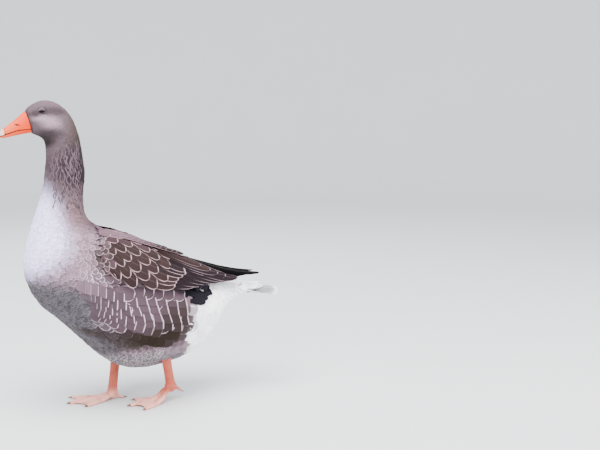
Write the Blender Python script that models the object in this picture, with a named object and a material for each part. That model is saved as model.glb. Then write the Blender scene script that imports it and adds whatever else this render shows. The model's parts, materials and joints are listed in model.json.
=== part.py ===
"""A Danish landrace goose, life-size, standing in mid-step and facing -X.

Metres, +Z up, the bird's left side towards -Y. The flesh is one surface, read from a row of
stations between tail and bill, and parted into nodes by flat cuts a hair wide.
"""

import math
import random
from collections import namedtuple

import bmesh
import bpy
from mathutils import Vector

# Driving dimensions
GAP = 0.0003
BODY_GAP = 0.0004
BODY_SIDES = 32
NECK_SIDES = 32
HEAD_SIDES = 32
FURROW = 0.022
SHARP_ANGLE = math.radians(40)
LEFT, RIGHT = -1, 1
SIDE_NAMES = {LEFT: "left", RIGHT: "right"}

# Where the outline of the back and of the belly stand at one place along the bird.
# Points are (x, z). sag lowers the widest level, keel above 1 narrows the underside.
Station = namedtuple("Station", "name back belly half_width sag keel")
STATIONS = (
    Station("tail root", (0.236, 0.254), (0.229, 0.226), 0.034, 0.0, 1.0),
    Station("vent", (0.200, 0.264), (0.177, 0.192), 0.064, 0.0, 1.0),
    Station("rump", (0.156, 0.281), (0.144, 0.136), 0.094, 0.0, 1.05),
    Station("loin", (0.106, 0.302), (0.106, 0.099), 0.116, 0.0, 1.15),
    Station("haunch", (0.044, 0.330), (0.047, 0.080), 0.129, 0.0, 1.3),
    Station("middle", (-0.016, 0.357), (-0.014, 0.074), 0.134, 0.0, 1.3),
    Station("saddle", (-0.070, 0.381), (-0.077, 0.092), 0.133, 0.0, 1.2),
    Station("shoulder", (-0.107, 0.402), (-0.132, 0.140), 0.127, 0.0, 1.1),
    Station("lower breast", (-0.125, 0.419), (-0.190, 0.199), 0.117, 0.0, 1.0),
    Station("breast", (-0.133, 0.432), (-0.239, 0.243), 0.106, 0.0, 1.0),
    Station("upper breast", (-0.136, 0.441), (-0.265, 0.296), 0.094, 0.0, 1.0),
    Station("crop", (-0.138, 0.450), (-0.268, 0.341), 0.080, 0.0, 1.0),
    Station("throat base", (-0.138, 0.461), (-0.259, 0.386), 0.066, 0.0, 1.0),
    Station("neck foot", (-0.138, 0.477), (-0.242, 0.440), 0.052, 0.0, 1.0),
    Station("lower neck", (-0.137, 0.497), (-0.223, 0.496), 0.041, 0.0, 1.0),
    Station("neck", (-0.134, 0.532), (-0.218, 0.535), 0.036, 0.0, 1.0),
    Station("upper neck", (-0.137, 0.568), (-0.214, 0.566), 0.0345, 0.0, 1.0),
    Station("neck top", (-0.140, 0.599), (-0.215, 0.592), 0.034, 0.0, 1.0),
    Station("nape", (-0.145, 0.623), (-0.218, 0.604), 0.035, 0.0, 1.0),
    Station("occiput", (-0.156, 0.651), (-0.224, 0.610), 0.036, 0.05, 1.0),
    Station("ear", (-0.173, 0.673), (-0.229, 0.613), 0.0362, 0.12, 1.0),
    Station("crown", (-0.197, 0.688), (-0.234, 0.615), 0.0355, 0.18, 1.0),
    Station("brow", (-0.221, 0.690), (-0.239, 0.617), 0.0325, 0.2, 1.0),
    Station("forehead", (-0.241, 0.683), (-0.243, 0.619), 0.0275, 0.2, 1.0),
    Station("lore", (-0.252, 0.6755), (-0.245, 0.620), 0.0225, 0.2, 1.0),
    Station("bill base", (-0.2585, 0.6690), (-0.247, 0.621), 0.0185, 0.2, 1.0),
)
PLACE = {station.name: number for number, station in enumerate(STATIONS)}

# The bill's own stations, base to tip: culmen (x, z), chin (x, z), half width
BILL_STATIONS = (
    ((-0.2588, 0.6680), (-0.2472, 0.6210), 0.0172),
    ((-0.2720, 0.6565), (-0.2620, 0.6190), 0.0160),
    ((-0.2860, 0.6455), (-0.2765, 0.6165), 0.0145),
    ((-0.2965, 0.6380), (-0.2890, 0.6140), 0.0130),
    ((-0.3065, 0.6315), (-0.3005, 0.6115), 0.0112),
    ((-0.3135, 0.6235), (-0.3090, 0.6105), 0.0080),
)
BILL_TIP = (-0.3165, 0.6125)
BILL_SIDES = 20
BILL_SAG = 0.45
BILL_FULLNESS = 0.85
MOUTH_LINE = ((-0.240, 0.6290), (-0.262, 0.6282), (-0.280, 0.6262), (-0.297, 0.6205), (-0.325, 0.6115))
NAIL_FROM = -0.3045
NOSTRIL_AT = (-0.2795, 0.0125, 0.6385)
NOSTRIL_SIZE = (0.0055, 0.0030, 0.0020)
EYE_AT = (-0.2285, 0.0222, 0.6680)
EYE_RADIUS = 0.0075
LID_RADIUS = 0.0086
LID_OPENING = (0.0060, 0.0042)

# The folded wing is a curved sheet between two edges, shoulder to tip, as (x, y, z)
WING_TOP = (
    (-0.122, 0.060, 0.403),
    (-0.062, 0.040, 0.392),
    (0.000, 0.030, 0.366),
    (0.062, 0.026, 0.339),
    (0.124, 0.023, 0.314),
    (0.186, 0.021, 0.292),
    (0.240, 0.019, 0.278),
    (0.292, 0.017, 0.270),
)
WING_LOW = (
    (-0.132, 0.110, 0.340),
    (-0.085, 0.132, 0.294),
    (-0.020, 0.134, 0.280),
    (0.045, 0.125, 0.272),
    (0.105, 0.100, 0.266),
    (0.165, 0.070, 0.263),
    (0.225, 0.045, 0.263),
    (0.292, 0.022, 0.266),
)
WING_BULGE = (0.006, 0.014, 0.013, 0.011, 0.009, 0.006, 0.003, 0.001)

# The arm's pad: its height out of the sheet at equal steps from the shoulder to its end
PAD_HEIGHTS = (0.0062, 0.0125, 0.0122, 0.0118, 0.0108, 0.0092, 0.0074, 0.0055, 0.0036, 0.0022)
PAD_END = 0.62
PAD_EDGE = 0.0020
PAD_SINK = 0.018
EDGE_DROP = 0.0080

# Tiers of flight feathers and coverts on that sheet. The places are (along, across) shares of
# the wing, for the first and the last feather of a tier. lift is the height over the sheet at
# the tier's start and end, stack is added with each feather, and tilt is the clearance that
# leaning over the next feather gives.
Tier = namedtuple("Tier", "name count root root_last tip tip_last half_width lift stack tilt")
TIERS = (
    Tier("primary", 5, (0.50, 0.50), (0.44, 0.72), (0.84, 0.42), (1.00, 0.70),
         0.0095, (0.0006, 0.0006), 0.00105, 0.0),
    Tier("secondary", 6, (0.33, 0.10), (0.42, 0.58), (0.52, -0.02), (0.80, 0.16),
         0.0135, (0.0080, 0.0066), 0.0, 0.00115),
    Tier("tertial", 4, (0.33, 0.74), (0.28, 0.98), (0.66, 0.52), (0.86, 0.80),
         0.0150, (0.0105, 0.0086), 0.00110, 0.0),
    Tier("greater covert", 7, (0.22, 0.04), (0.27, 0.62), (0.40, -0.03), (0.52, 0.44),
         0.0140, (0.0108, 0.0102), 0.0, 0.00120),
    Tier("third covert", 6, (0.15, 0.05), (0.18, 0.70), (0.26, -0.01), (0.33, 0.60),
         0.0140, (0.0101, 0.0140), 0.0, 0.00110),
    Tier("second covert", 6, (0.08, 0.05), (0.10, 0.72), (0.18, 0.00), (0.24, 0.64),
         0.0140, (0.0106, 0.0150), 0.0, 0.00110),
    Tier("first covert", 6, (0.01, 0.06), (0.02, 0.76), (0.11, 0.02), (0.15, 0.68),
         0.0140, (0.0084, 0.0150), 0.0, 0.00110),
    Tier("scapular", 7, (0.02, 0.92), (0.30, 1.00), (0.22, 0.80), (0.52, 0.84),
         0.0150, (0.0130, 0.0120), 0.0, 0.0),
)
SCAPULAR_STEP = 0.00120
VANE_THICKNESS = 0.0007
VANE_EDGE = 0.0005
VANE_SINK = 0.0030
VANE_STEPS = (0.0, 0.22, 0.68, 0.92, 1.0)
VANE_WIDTHS = (0.5, 0.9, 1.0, 0.68, 0.24)
COVERT_STEPS = (0.0, 0.5, 0.86, 1.0)
COVERT_WIDTHS = (0.6, 1.0, 0.78, 0.26)
LONG_VANE = 0.24
VARIED_TIP = 0.005
VARIED_WIDTH = 0.05
WING_REACH = {LEFT: 0.90, RIGHT: 1.0}
WING_SEEDS = {LEFT: 11, RIGHT: 23}

# The tail: a short core under a shallow fan, the middle feathers on top
TAIL_COUNT = 13
TAIL_LENGTH = 0.104
TAIL_SIDE_SHORTER = 0.010
TAIL_SPREAD = 27.0
TAIL_DROP = 6.0
TAIL_STEP = 0.00105
TAIL_HALF_WIDTH = 0.0115
TAIL_CORE = 0.045
TAIL_CORE_RINGS = ((0.0, 1.0, 1.0), (0.35, 1.08, 0.78), (0.7, 0.95, 0.52), (1.0, 0.7, 0.3))
TAIL_ROOT = 0.008

# The legs, hip side to toe joint, and each foot's heading (degrees towards the outside)
Leg = namedtuple("Leg", "side thigh thigh_size ankle joint heading landing")
LEGS = (
    Leg(LEFT, (0.018, 0.076, 0.145), (0.048, 0.032, 0.040),
        (0.026, 0.072, 0.122), (0.047, 0.050, 0.037), 4.0, 0.52),
    Leg(RIGHT, (-0.042, 0.060, 0.138), (0.048, 0.032, 0.040),
        (-0.048, 0.050, 0.108), (-0.068, 0.025, 0.018), 2.0, 0.40),
)
SHANK_RADII = (0.0130, 0.0108, 0.0098, 0.0100, 0.0118)
SHANK_THIN = 0.82
Toe = namedtuple("Toe", "name length spread radius")
TOES = (
    Toe("inner", 0.082, 30.0, 0.0066),
    Toe("middle", 0.100, 1.0, 0.0072),
    Toe("outer", 0.094, -27.0, 0.0066),
)
HIND_TOE = Toe("hind", 0.027, 178.0, 0.0045)
TOE_FLAT = 0.8
TOE_SUNK = 0.62
TOE_TAPER = 0.35
HIND_LANDING = {LEFT: 2.2, RIGHT: 0.8}
KNUCKLE_DROP = 0.004
KNUCKLE_SIZE = (0.0140, 0.0115, 0.0125)
CLAW_LENGTH = 0.012
CLAW_SINK = 0.002
CLAW_RISE = 0.0008
CLAW_WIDTH = 0.75
CLAW_TAPER = 0.85
CLAW_STEPS = (0.0, 0.35, 0.7, 1.0)
WEB_THICKNESS = 0.0018
WEB_REACH = 0.97
WEB_DIP = 0.09

COLOURS = {
    "plumage": ((0.34, 0.30, 0.29, 1.0), 0.85),
    "breast": ((0.58, 0.57, 0.60, 1.0), 0.85),
    "wing": ((0.22, 0.18, 0.17, 1.0), 0.7),
    "white": ((0.85, 0.84, 0.84, 1.0), 0.85),
    "bill": ((0.85, 0.34, 0.14, 1.0), 0.4),
    "nail": ((0.85, 0.72, 0.66, 1.0), 0.35),
    "eye": ((0.02, 0.015, 0.012, 1.0), 0.1),
    "skin": ((0.80, 0.38, 0.26, 1.0), 0.55),
    "claw": ((0.30, 0.20, 0.17, 1.0), 0.4),
}


def clear_scene():
    for thing in list(bpy.data.objects):
        bpy.data.objects.remove(thing)


def material(name):
    made = bpy.data.materials.get(name)
    if made is None:
        made = bpy.data.materials.new(name)
        made.use_nodes = True
        colour, roughness = COLOURS[name]
        shader = made.node_tree.nodes["Principled BSDF"]
        shader.inputs["Base Color"].default_value = colour
        shader.inputs["Roughness"].default_value = roughness
        shader.inputs["Metallic"].default_value = 0.0
    return made


def mesh_object(name, points, faces, finish):
    mesh = bpy.data.meshes.new(name)
    mesh.from_pydata([tuple(p) for p in points], [], faces)
    mesh.materials.append(material(finish))
    made = bpy.data.objects.new(name, mesh)
    bpy.context.scene.collection.objects.link(made)
    turn_outwards(made)
    return made


def turn_outwards(made):
    work = bmesh.new()
    work.from_mesh(made.data)
    bmesh.ops.recalc_face_normals(work, faces=work.faces)
    if work.calc_volume(signed=True) < 0:
        bmesh.ops.reverse_faces(work, faces=work.faces)
    work.to_mesh(made.data)
    work.free()


def curve_at(values, where):
    """A smooth curve through equally spaced values, numbers or tuples, read at where."""
    last = len(values) - 1
    first = min(max(int(math.floor(where)), 0), last - 1)
    t = where - first
    rows = [values[min(max(first + k, 0), last)] for k in (-1, 0, 1, 2)]
    if not isinstance(rows[0], (tuple, list)):
        return curve_at([(v,) for v in values], where)[0]
    weights = (
        -0.5 * t + t * t - 0.5 * t**3,
        1 - 2.5 * t * t + 1.5 * t**3,
        0.5 * t + 2 * t * t - 1.5 * t**3,
        -0.5 * t * t + 0.5 * t**3,
    )
    return tuple(sum(w * row[k] for w, row in zip(weights, rows)) for k in range(len(rows[0])))


def blend(a, b, t):
    return tuple(p + (q - p) * t for p, q in zip(a, b))


def smooth(t):
    t = min(max(t, 0.0), 1.0)
    return t * t * (3 - 2 * t)


def body_ring(where, sides, ridge=0.0):
    """The bird's outline across one place, as points from the back round over the left."""
    numbers = [s.back + s.belly + (s.half_width, s.sag, s.keel) for s in STATIONS]
    back_x, back_z, belly_x, belly_z, half_width, sag, keel = curve_at(numbers, where)
    back, belly = Vector((back_x, 0, back_z)), Vector((belly_x, 0, belly_z))
    middle, up = (back + belly) / 2, (back - belly) / 2
    reach = up.length
    up = up.normalized()
    ring = []
    for k in range(sides):
        angle = 2 * math.pi * k / sides
        rise, out = math.cos(angle), math.sin(angle)
        wide = abs(out) ** (keel if rise < 0 else 1.0)
        across = math.copysign(wide, out) * half_width
        level = rise - sag * out * out
        bump = ridge * (1 if k % 2 else -1)
        across *= 1 + bump
        ring.append(middle + up * level * reach * (1 + bump) + Vector((0, -across, 0)))
    return ring


def ring_normal(ring):
    """The direction square to a ring, towards the bill."""
    quarter = len(ring) // 4
    return (ring[quarter] - ring[3 * quarter]).cross(ring[0] - ring[2 * quarter]).normalized()


def loft(name, rings, finish):
    """A closed solid through rings of equal length, with flat ends."""
    sides = len(rings[0])
    points = [p for ring in rings for p in ring]
    faces = []
    for row in range(len(rings) - 1):
        for k in range(sides):
            a, b = row * sides + k, row * sides + (k + 1) % sides
            faces.append((a, b, b + sides, a + sides))
    for start in (0, (len(rings) - 1) * sides):
        end = list(range(start, start + sides))
        points.append(sum((points[i] for i in end), Vector()) / sides)
        faces += [(end[k], end[(k + 1) % sides], len(points) - 1) for k in range(sides)]
    return mesh_object(name, points, faces, finish)


def flesh(name, first, last, rows, sides, finish, ridge=0.0):
    """The bird's surface between two named stations, its ends drawn back by half a gap."""
    start, end = PLACE[first], PLACE[last]
    rings = []
    for row in range(rows + 1):
        share = row / rows
        fade = math.sin(math.pi * share)
        rings.append(body_ring(start + (end - start) * share, sides, ridge * fade))
    for ring, sign in ((rings[0], 1), (rings[-1], -1)):
        shift = ring_normal(ring) * (GAP / 2 * sign)
        for k, point in enumerate(ring):
            ring[k] = point + shift
    return loft(name, rings, finish)


def apply_modifier(made, modifier):
    bpy.context.view_layer.update()
    graph = bpy.context.evaluated_depsgraph_get()
    mesh = bpy.data.meshes.new_from_object(made.evaluated_get(graph))
    made.modifiers.remove(modifier)
    old = made.data
    made.data = mesh
    bpy.data.meshes.remove(old)


def combine(made, others, operation, solver="EXACT"):
    """Joins others to an object, or cuts them from it, in one Boolean."""
    pieces = bpy.data.collections.new("pieces")
    bpy.context.scene.collection.children.link(pieces)
    for other in others:
        for home in list(other.users_collection):
            home.objects.unlink(other)
        pieces.objects.link(other)
    modifier = made.modifiers.new("combine", "BOOLEAN")
    modifier.operation = operation
    modifier.solver = solver
    modifier.operand_type = "COLLECTION"
    modifier.collection = pieces
    apply_modifier(made, modifier)
    for other in others:
        bpy.data.objects.remove(other)
    bpy.data.collections.remove(pieces)
    keep_largest(made)
    return made


def keep_largest(made):
    """Leaves only the largest closed surface, and drops loose scraps and sealed hollows."""
    work = bmesh.new()
    work.from_mesh(made.data)
    bmesh.ops.remove_doubles(work, verts=work.verts, dist=1e-6)
    work.faces.ensure_lookup_table()
    seen, groups = set(), []
    for face in work.faces:
        if face.index in seen:
            continue
        stack, group = [face], []
        seen.add(face.index)
        while stack:
            here = stack.pop()
            group.append(here)
            for edge in here.edges:
                for other in edge.link_faces:
                    if other.index not in seen:
                        seen.add(other.index)
                        stack.append(other)
        groups.append(group)
    groups.sort(key=lambda g: sum(f.calc_area() for f in g))
    loose = [f for g in groups[:-1] for f in g]
    bmesh.ops.delete(work, geom=loose, context="FACES")
    bmesh.ops.triangulate(work, faces=work.faces)
    work.to_mesh(made.data)
    work.free()


def ball(name, centre, radii, finish, segments=16, rings=10):
    bpy.ops.mesh.primitive_uv_sphere_add(segments=segments, ring_count=rings, radius=1.0)
    made = bpy.context.object
    made.name = name
    for vertex in made.data.vertices:
        vertex.co = Vector(centre) + Vector([c * r for c, r in zip(vertex.co, radii)])
    made.data.materials.append(material(finish))
    return made


def prism(name, outline, half_depth, finish):
    """An outline of (x, z) points drawn out to both sides of the middle plane."""
    count = len(outline)
    points = [Vector((x, y, z)) for y in (-half_depth, half_depth) for x, z in outline]
    faces = [tuple(range(count)), tuple(range(2 * count - 1, count - 1, -1))]
    faces += [(k, (k + 1) % count, count + (k + 1) % count, count + k) for k in range(count)]
    return mesh_object(name, points, faces, finish)


def tube(name, path, radii, sides, finish, flatten=1.0):
    """A tapered tube along a path, with flat ends square to it."""
    rings = []
    for k, (point, radius) in enumerate(zip(path, radii)):
        ahead = path[min(k + 1, len(path) - 1)] - path[max(k - 1, 0)]
        ahead.normalize()
        side = ahead.cross(Vector((0, 0, 1)))
        if side.length < 0.2:
            side = Vector((0, 1, 0))
        side.normalize()
        up = side.cross(ahead).normalized()
        ring = []
        for n in range(sides):
            angle = 2 * math.pi * n / sides
            ring.append(point + side * radius * math.cos(angle) + up * radius * flatten * math.sin(angle))
        rings.append(ring)
    return loft(name, rings, finish)


def make_body():
    flesh("torso", "tail root", "neck foot", 22, BODY_SIDES, "breast")
    flesh("neck", "neck foot", "neck top", 9, NECK_SIDES, "plumage", ridge=FURROW)


def make_head():
    head = flesh("head", "neck top", "bill base", 14, HEAD_SIDES, "plumage")
    lids, openings = [], []
    for side in (LEFT, RIGHT):
        x, y, z = EYE_AT
        centre = (x, side * y, z)
        lids.append(ball("lid", centre, (LID_RADIUS,) * 3, "plumage", 16, 8))
        openings.append(ball("socket", centre, (EYE_RADIUS + GAP,) * 3, "plumage", 12, 8))
        wide, tall = LID_OPENING
        almond = ball("almond", (x, side * (y + LID_RADIUS), z), (wide, LID_RADIUS, tall), "plumage", 12, 6)
        openings.append(almond)
        ball("eye_" + SIDE_NAMES[side], centre, (EYE_RADIUS,) * 3, "eye", 12, 8)
    combine(head, lids, "UNION")
    combine(head, openings, "DIFFERENCE")


def bill_whole(name):
    rings = []
    for (culmen_x, culmen_z), (chin_x, chin_z), half_width in BILL_STATIONS:
        culmen, chin = Vector((culmen_x, 0, culmen_z)), Vector((chin_x, 0, chin_z))
        middle, up = (culmen + chin) / 2, (culmen - chin) / 2
        ring = []
        for k in range(BILL_SIDES):
            angle = 2 * math.pi * k / BILL_SIDES
            rise, out = math.cos(angle), math.sin(angle)
            level = rise - BILL_SAG * out * out
            across = math.copysign(abs(out) ** BILL_FULLNESS, out) * half_width
            ring.append(middle + up * max(level, -1.0) + Vector((0, -across, 0)))
        rings.append(ring)
    base_shift = ring_normal(rings[0]) * GAP
    rings[0] = [p + base_shift for p in rings[0]]
    tip = Vector((BILL_TIP[0], 0, BILL_TIP[1]))
    rings.append([tip + (p - tip) * 0.35 for p in rings[-1]])
    return loft(name, rings, "bill")


def make_bill():
    upper, lower = bill_whole("bill_upper"), bill_whole("bill_lower")
    below = [(x, z + GAP / 2) for x, z in MOUTH_LINE] + [(-0.33, 0.58), (-0.23, 0.58)]
    above = [(x, z - GAP / 2) for x, z in MOUTH_LINE] + [(-0.33, 0.70), (-0.23, 0.70)]
    combine(upper, [prism("below", below, 0.04, "bill")], "DIFFERENCE")
    combine(lower, [prism("above", above, 0.04, "bill")], "DIFFERENCE")
    nail = upper.copy()
    nail.data = upper.data.copy()
    nail.name = "bill_nail"
    nail.data.materials.clear()
    nail.data.materials.append(material("nail"))
    bpy.context.scene.collection.objects.link(nail)
    front, back = NAIL_FROM - GAP / 2, NAIL_FROM + GAP / 2
    tall = (0.55, 0.70)
    ahead = [(-0.34, tall[0]), (-0.34, tall[1]), (back, tall[1]), (back, tall[0])]
    behind = [(-0.20, tall[0]), (-0.20, tall[1]), (front, tall[1]), (front, tall[0])]
    cutters = [prism("ahead", ahead, 0.04, "bill")]
    for side in (LEFT, RIGHT):
        x, y, z = NOSTRIL_AT
        cutters.append(ball("nostril", (x, side * y, z), NOSTRIL_SIZE, "bill", 10, 6))
    combine(upper, cutters, "DIFFERENCE")
    combine(nail, [prism("behind", behind, 0.04, "bill")], "DIFFERENCE")


def wing_sheet(side, u, v, lift):
    """A point of the folded wing: u runs shoulder to tip, v lower edge to upper edge."""
    where = u * (len(WING_TOP) - 1)
    low, top = Vector(curve_at(WING_LOW, where)), Vector(curve_at(WING_TOP, where))
    bulge = curve_at(WING_BULGE, where)
    chord = top - low
    out = Vector((0, chord.z, -chord.y)).normalized()
    arch = 4 * v * (1 - v)
    turn = 4 * (2 * v - 1) * bulge / chord.length
    slope = (out + chord.normalized() * max(min(turn, 0.8), -0.8)).normalized()
    point = low + chord * v + out * bulge * arch + slope * lift
    return Vector((point.x, side * point.y, point.z))


def wing_chord(u):
    where = u * (len(WING_TOP) - 1)
    return (Vector(curve_at(WING_TOP, where)) - Vector(curve_at(WING_LOW, where))).length


def edge_drop(u, v):
    """The wing rounds down towards its two long edges, less so towards its tip."""
    return EDGE_DROP * (1 - smooth((u - 0.25) / 0.45)) * min(abs(2 * v - 1), 1.1) ** 3


def pad_height(u, v):
    height = curve_at(PAD_HEIGHTS, u / PAD_END * (len(PAD_HEIGHTS) - 1))
    return max(height - edge_drop(u, v), PAD_EDGE)


def wing_pad(side):
    """The wing's arm as one closed curved pad, its inner face sunk in the body."""
    rows, columns = 13, 7
    outer, inner = [], []
    for row in range(rows + 1):
        u = PAD_END * row / rows
        for column in range(columns + 1):
            v = column / columns
            outer.append(wing_sheet(side, u, v, pad_height(u, v)))
            sink = PAD_SINK * (1 - 0.7 * smooth(u / PAD_END)) * math.sin(math.pi * (0.08 + 0.62 * v))
            inner.append(wing_sheet(side, u, v, -sink))
    return plate("wing_" + SIDE_NAMES[side], outer, inner, columns + 1, "wing")


def tier_vane(side, tier, number, chance):
    """One feather of a tier, as a thin closed sheet that is rooted in the pad."""
    share = number / (tier.count - 1)
    root, tip = blend(tier.root, tier.root_last, share), blend(tier.tip, tier.tip_last, share)
    reach = WING_REACH[side] if tier.name == "primary" else 1.0
    tip = (tip[0] * reach + chance.uniform(-VARIED_TIP, VARIED_TIP), tip[1])
    half_width = tier.half_width * (1 + chance.uniform(-VARIED_WIDTH, VARIED_WIDTH))
    starts = (tier.root[0], tier.root_last[0])
    ends = (tier.tip[0], tier.tip_last[0])
    step = 1 / (tier.count - 1)
    middle = blend(root, tip, 0.6)
    spacing = neighbour_rise(tier, share, step, middle[0])
    top, bottom = [], []
    outline = zip(COVERT_STEPS, COVERT_WIDTHS)
    if tip[0] - root[0] > LONG_VANE:
        outline = zip(VANE_STEPS, VANE_WIDTHS)
    for a, wide in outline:
        u, centre = blend(root, tip, a)
        along = (u - min(starts)) / (max(ends) - min(starts))
        lift = tier.lift[0] + (tier.lift[1] - tier.lift[0]) * along + tier.stack * number
        if tier.name == "scapular":
            lift += SCAPULAR_STEP * (u - root[0]) / ((tier.root_last[0] - tier.root[0]) * step)
        lift -= VANE_SINK * (1 - smooth(a / 0.2))
        thick = VANE_THICKNESS if a < 0.9 else VANE_EDGE
        for s in (-1.0, 0.0, 1.0):
            v = centre + s * wide * half_width / wing_chord(u)
            level = lift - edge_drop(u, v) - tier.tilt * (v - centre) / spacing
            half = thick / 2 if s == 0 else VANE_EDGE / 2
            top.append(wing_sheet(side, u, v, level + half))
            bottom.append(wing_sheet(side, u, v, level - half))
    return plate("vane", top, bottom, 3, "wing")


def neighbour_rise(tier, share, step, u):
    """How far across the wing the next feather of the tier runs, at one place along it."""
    levels = []
    for here in (share, share + step):
        root, tip = blend(tier.root, tier.root_last, here), blend(tier.tip, tier.tip_last, here)
        levels.append(root[1] + (tip[1] - root[1]) * (u - root[0]) / (tip[0] - root[0]))
    return levels[1] - levels[0]


def make_wing(side):
    pad = wing_pad(side)
    chance = random.Random(WING_SEEDS[side])
    vanes = [tier_vane(side, tier, number, chance) for tier in TIERS for number in range(tier.count)]
    combine(pad, vanes, "UNION")
    trim_by_body(pad)


def swollen(made, amount):
    """A copy with every point moved out along the surface, to cut with."""
    grown = made.copy()
    grown.data = made.data.copy()
    bpy.context.scene.collection.objects.link(grown)
    work = bmesh.new()
    work.from_mesh(grown.data)
    work.normal_update()
    for vertex, way in [(v, v.normal.copy()) for v in work.verts]:
        vertex.co += way * amount
    work.to_mesh(grown.data)
    work.free()
    return grown


def trim_by_body(made):
    combine(made, [swollen(bpy.data.objects["torso"], BODY_GAP)], "DIFFERENCE")


def make_tail():
    root = body_ring(PLACE["tail root"], BODY_SIDES)
    start = [p - ring_normal(root) * GAP / 2 for p in root]
    centre = sum(start, Vector()) / len(start)
    slope = math.radians(TAIL_DROP)
    back = Vector((math.cos(slope), 0, -math.sin(slope)))
    up = Vector((math.sin(slope), 0, math.cos(slope)))
    rings = []
    for share, wide, tall in TAIL_CORE_RINGS:
        ring = []
        for p in start:
            off = p - centre
            shrunk = Vector((off.x * (1 - share), off.y * wide, off.z * tall))
            ring.append(centre + back * TAIL_CORE * share + shrunk)
        rings.append(ring)
    core = loft("tail", rings[::-1], "white")
    vanes = []
    for number in range(TAIL_COUNT):
        place = number - (TAIL_COUNT - 1) / 2
        order = 2 * abs(place) - (1 if place < 0 else 0)
        turn = math.radians(TAIL_SPREAD * place / ((TAIL_COUNT - 1) / 2))
        way = back * math.cos(turn) + Vector((0, math.sin(turn), 0))
        side = Vector((0, math.cos(turn), 0)) - back * math.sin(turn)
        length = TAIL_LENGTH - TAIL_SIDE_SHORTER * (2 * place / (TAIL_COUNT - 1)) ** 2
        level = TAIL_STEP * (TAIL_COUNT / 2 - 1.5 - order)
        origin = centre + way * TAIL_ROOT + up * level
        top, bottom = [], []
        for a, wide in zip(VANE_STEPS, VANE_WIDTHS):
            thick = VANE_THICKNESS if a < 0.9 else VANE_EDGE
            for s in (-1.0, 0.0, 1.0):
                half = thick / 2 if s == 0 else VANE_EDGE / 2
                point = origin + way * length * a + side * TAIL_HALF_WIDTH * wide * s
                top.append(point + up * half)
                bottom.append(point - up * half)
        vanes.append(plate("vane", top, bottom, 3, "white"))
    combine(core, vanes, "UNION")


def make_leg(leg):
    name = SIDE_NAMES[leg.side]

    def placed(point):
        return Vector((point[0], leg.side * point[1], point[2]))

    thigh = ball("thigh_" + name, placed(leg.thigh), leg.thigh_size, "plumage", 20, 14)
    trim_by_body(thigh)
    ankle, joint = placed(leg.ankle), placed(leg.joint)
    path = [ankle.lerp(joint, t) for t in (0.0, 0.2, 0.5, 0.8, 1.0)]
    shank = tube("shank_" + name, path, SHANK_RADII, 12, "skin")
    for vertex in shank.data.vertices:
        middle = ankle.lerp(joint, (ankle.z - vertex.co.z) / (ankle.z - joint.z)).y
        vertex.co.y = middle + (vertex.co.y - middle) * SHANK_THIN
    growth = [ball("cutter", placed(leg.thigh), [r + GAP for r in leg.thigh_size], "skin", 20, 14)]
    growth.append(swollen(bpy.data.objects["torso"], BODY_GAP))
    knuckle = joint + Vector((0, 0, -KNUCKLE_DROP))
    growth.append(ball("cutter", knuckle, [r + GAP for r in KNUCKLE_SIZE], "skin", 16, 10))
    combine(shank, growth, "DIFFERENCE")
    make_foot(leg, joint)


def toe_path(toe, leg, joint):
    """Where a toe's bone runs, from the toe joint down to the ground and out to its tip."""
    angle = math.radians(180 + leg.side * (toe.spread - leg.heading))
    way = Vector((math.cos(angle), math.sin(angle), 0))
    start = joint + Vector((0, 0, -KNUCKLE_DROP))
    landing = HIND_LANDING[leg.side] if toe is HIND_TOE else leg.landing
    path, radii = [], []
    for t in (0.0, 0.18, 0.36, 0.54, 0.77, 1.0):
        ground = toe.radius * (1 - TOE_TAPER * t) * TOE_SUNK
        fall = smooth(t / landing)
        path.append(start + way * toe.length * t + Vector((0, 0, (ground - start.z) * fall)))
        radii.append(toe.radius * (1 - TOE_TAPER * t))
    return path, radii


def web(name, first, second):
    """The skin between two toes, its front edge drawn in."""
    origin = first[0]
    top, bottom = [], []
    columns = 4
    for row, (a, b) in enumerate(zip(first, second)):
        share = row / (len(first) - 1)
        for column in range(columns + 1):
            across = column / columns
            dip = 1 - WEB_DIP * share * 4 * across * (1 - across)
            point = origin + (a.lerp(b, across) - origin) * dip * WEB_REACH
            top.append(point + Vector((0, 0, WEB_THICKNESS / 2)))
            bottom.append(point - Vector((0, 0, WEB_THICKNESS / 2)))
    return plate(name, top, bottom, columns + 1, "skin")


def plate(name, upper, lower, width, finish):
    """A closed sheet between two equal grids of points, parted alike on both faces."""
    rows = len(upper) // width - 1
    columns = width - 1
    offset = len(upper)
    faces = []
    for row in range(rows):
        for column in range(columns):
            a = row * width + column
            b, c, d = a + 1, a + width + 1, a + width
            faces += [(a, b, c), (a, c, d)]
            faces += [(offset + a, offset + c, offset + b), (offset + a, offset + d, offset + c)]
    rim = list(range(width))
    rim += [row * width + columns for row in range(1, rows + 1)]
    rim += [rows * width + column for column in range(columns - 1, -1, -1)]
    rim += [row * width for row in range(rows - 1, 0, -1)]
    for k, here in enumerate(rim):
        there = rim[(k + 1) % len(rim)]
        faces += [(here, offset + here, offset + there), (here, offset + there, there)]
    return mesh_object(name, upper + lower, faces, finish)


def make_claw(toe, path, side_name):
    way = (path[-1] - path[-2]).normalized()
    start = path[-1] - way * CLAW_SINK
    width = toe.radius * (1 - TOE_TAPER) * CLAW_WIDTH
    bend, radii = [], []
    for t in CLAW_STEPS:
        bend.append(start + way * CLAW_LENGTH * t + Vector((0, 0, CLAW_RISE * (1 - t * t))))
        radii.append(width * (1 - CLAW_TAPER * t))
    return tube("claw_%s_%s" % (toe.name, side_name), bend, radii, 8, "claw")


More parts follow.
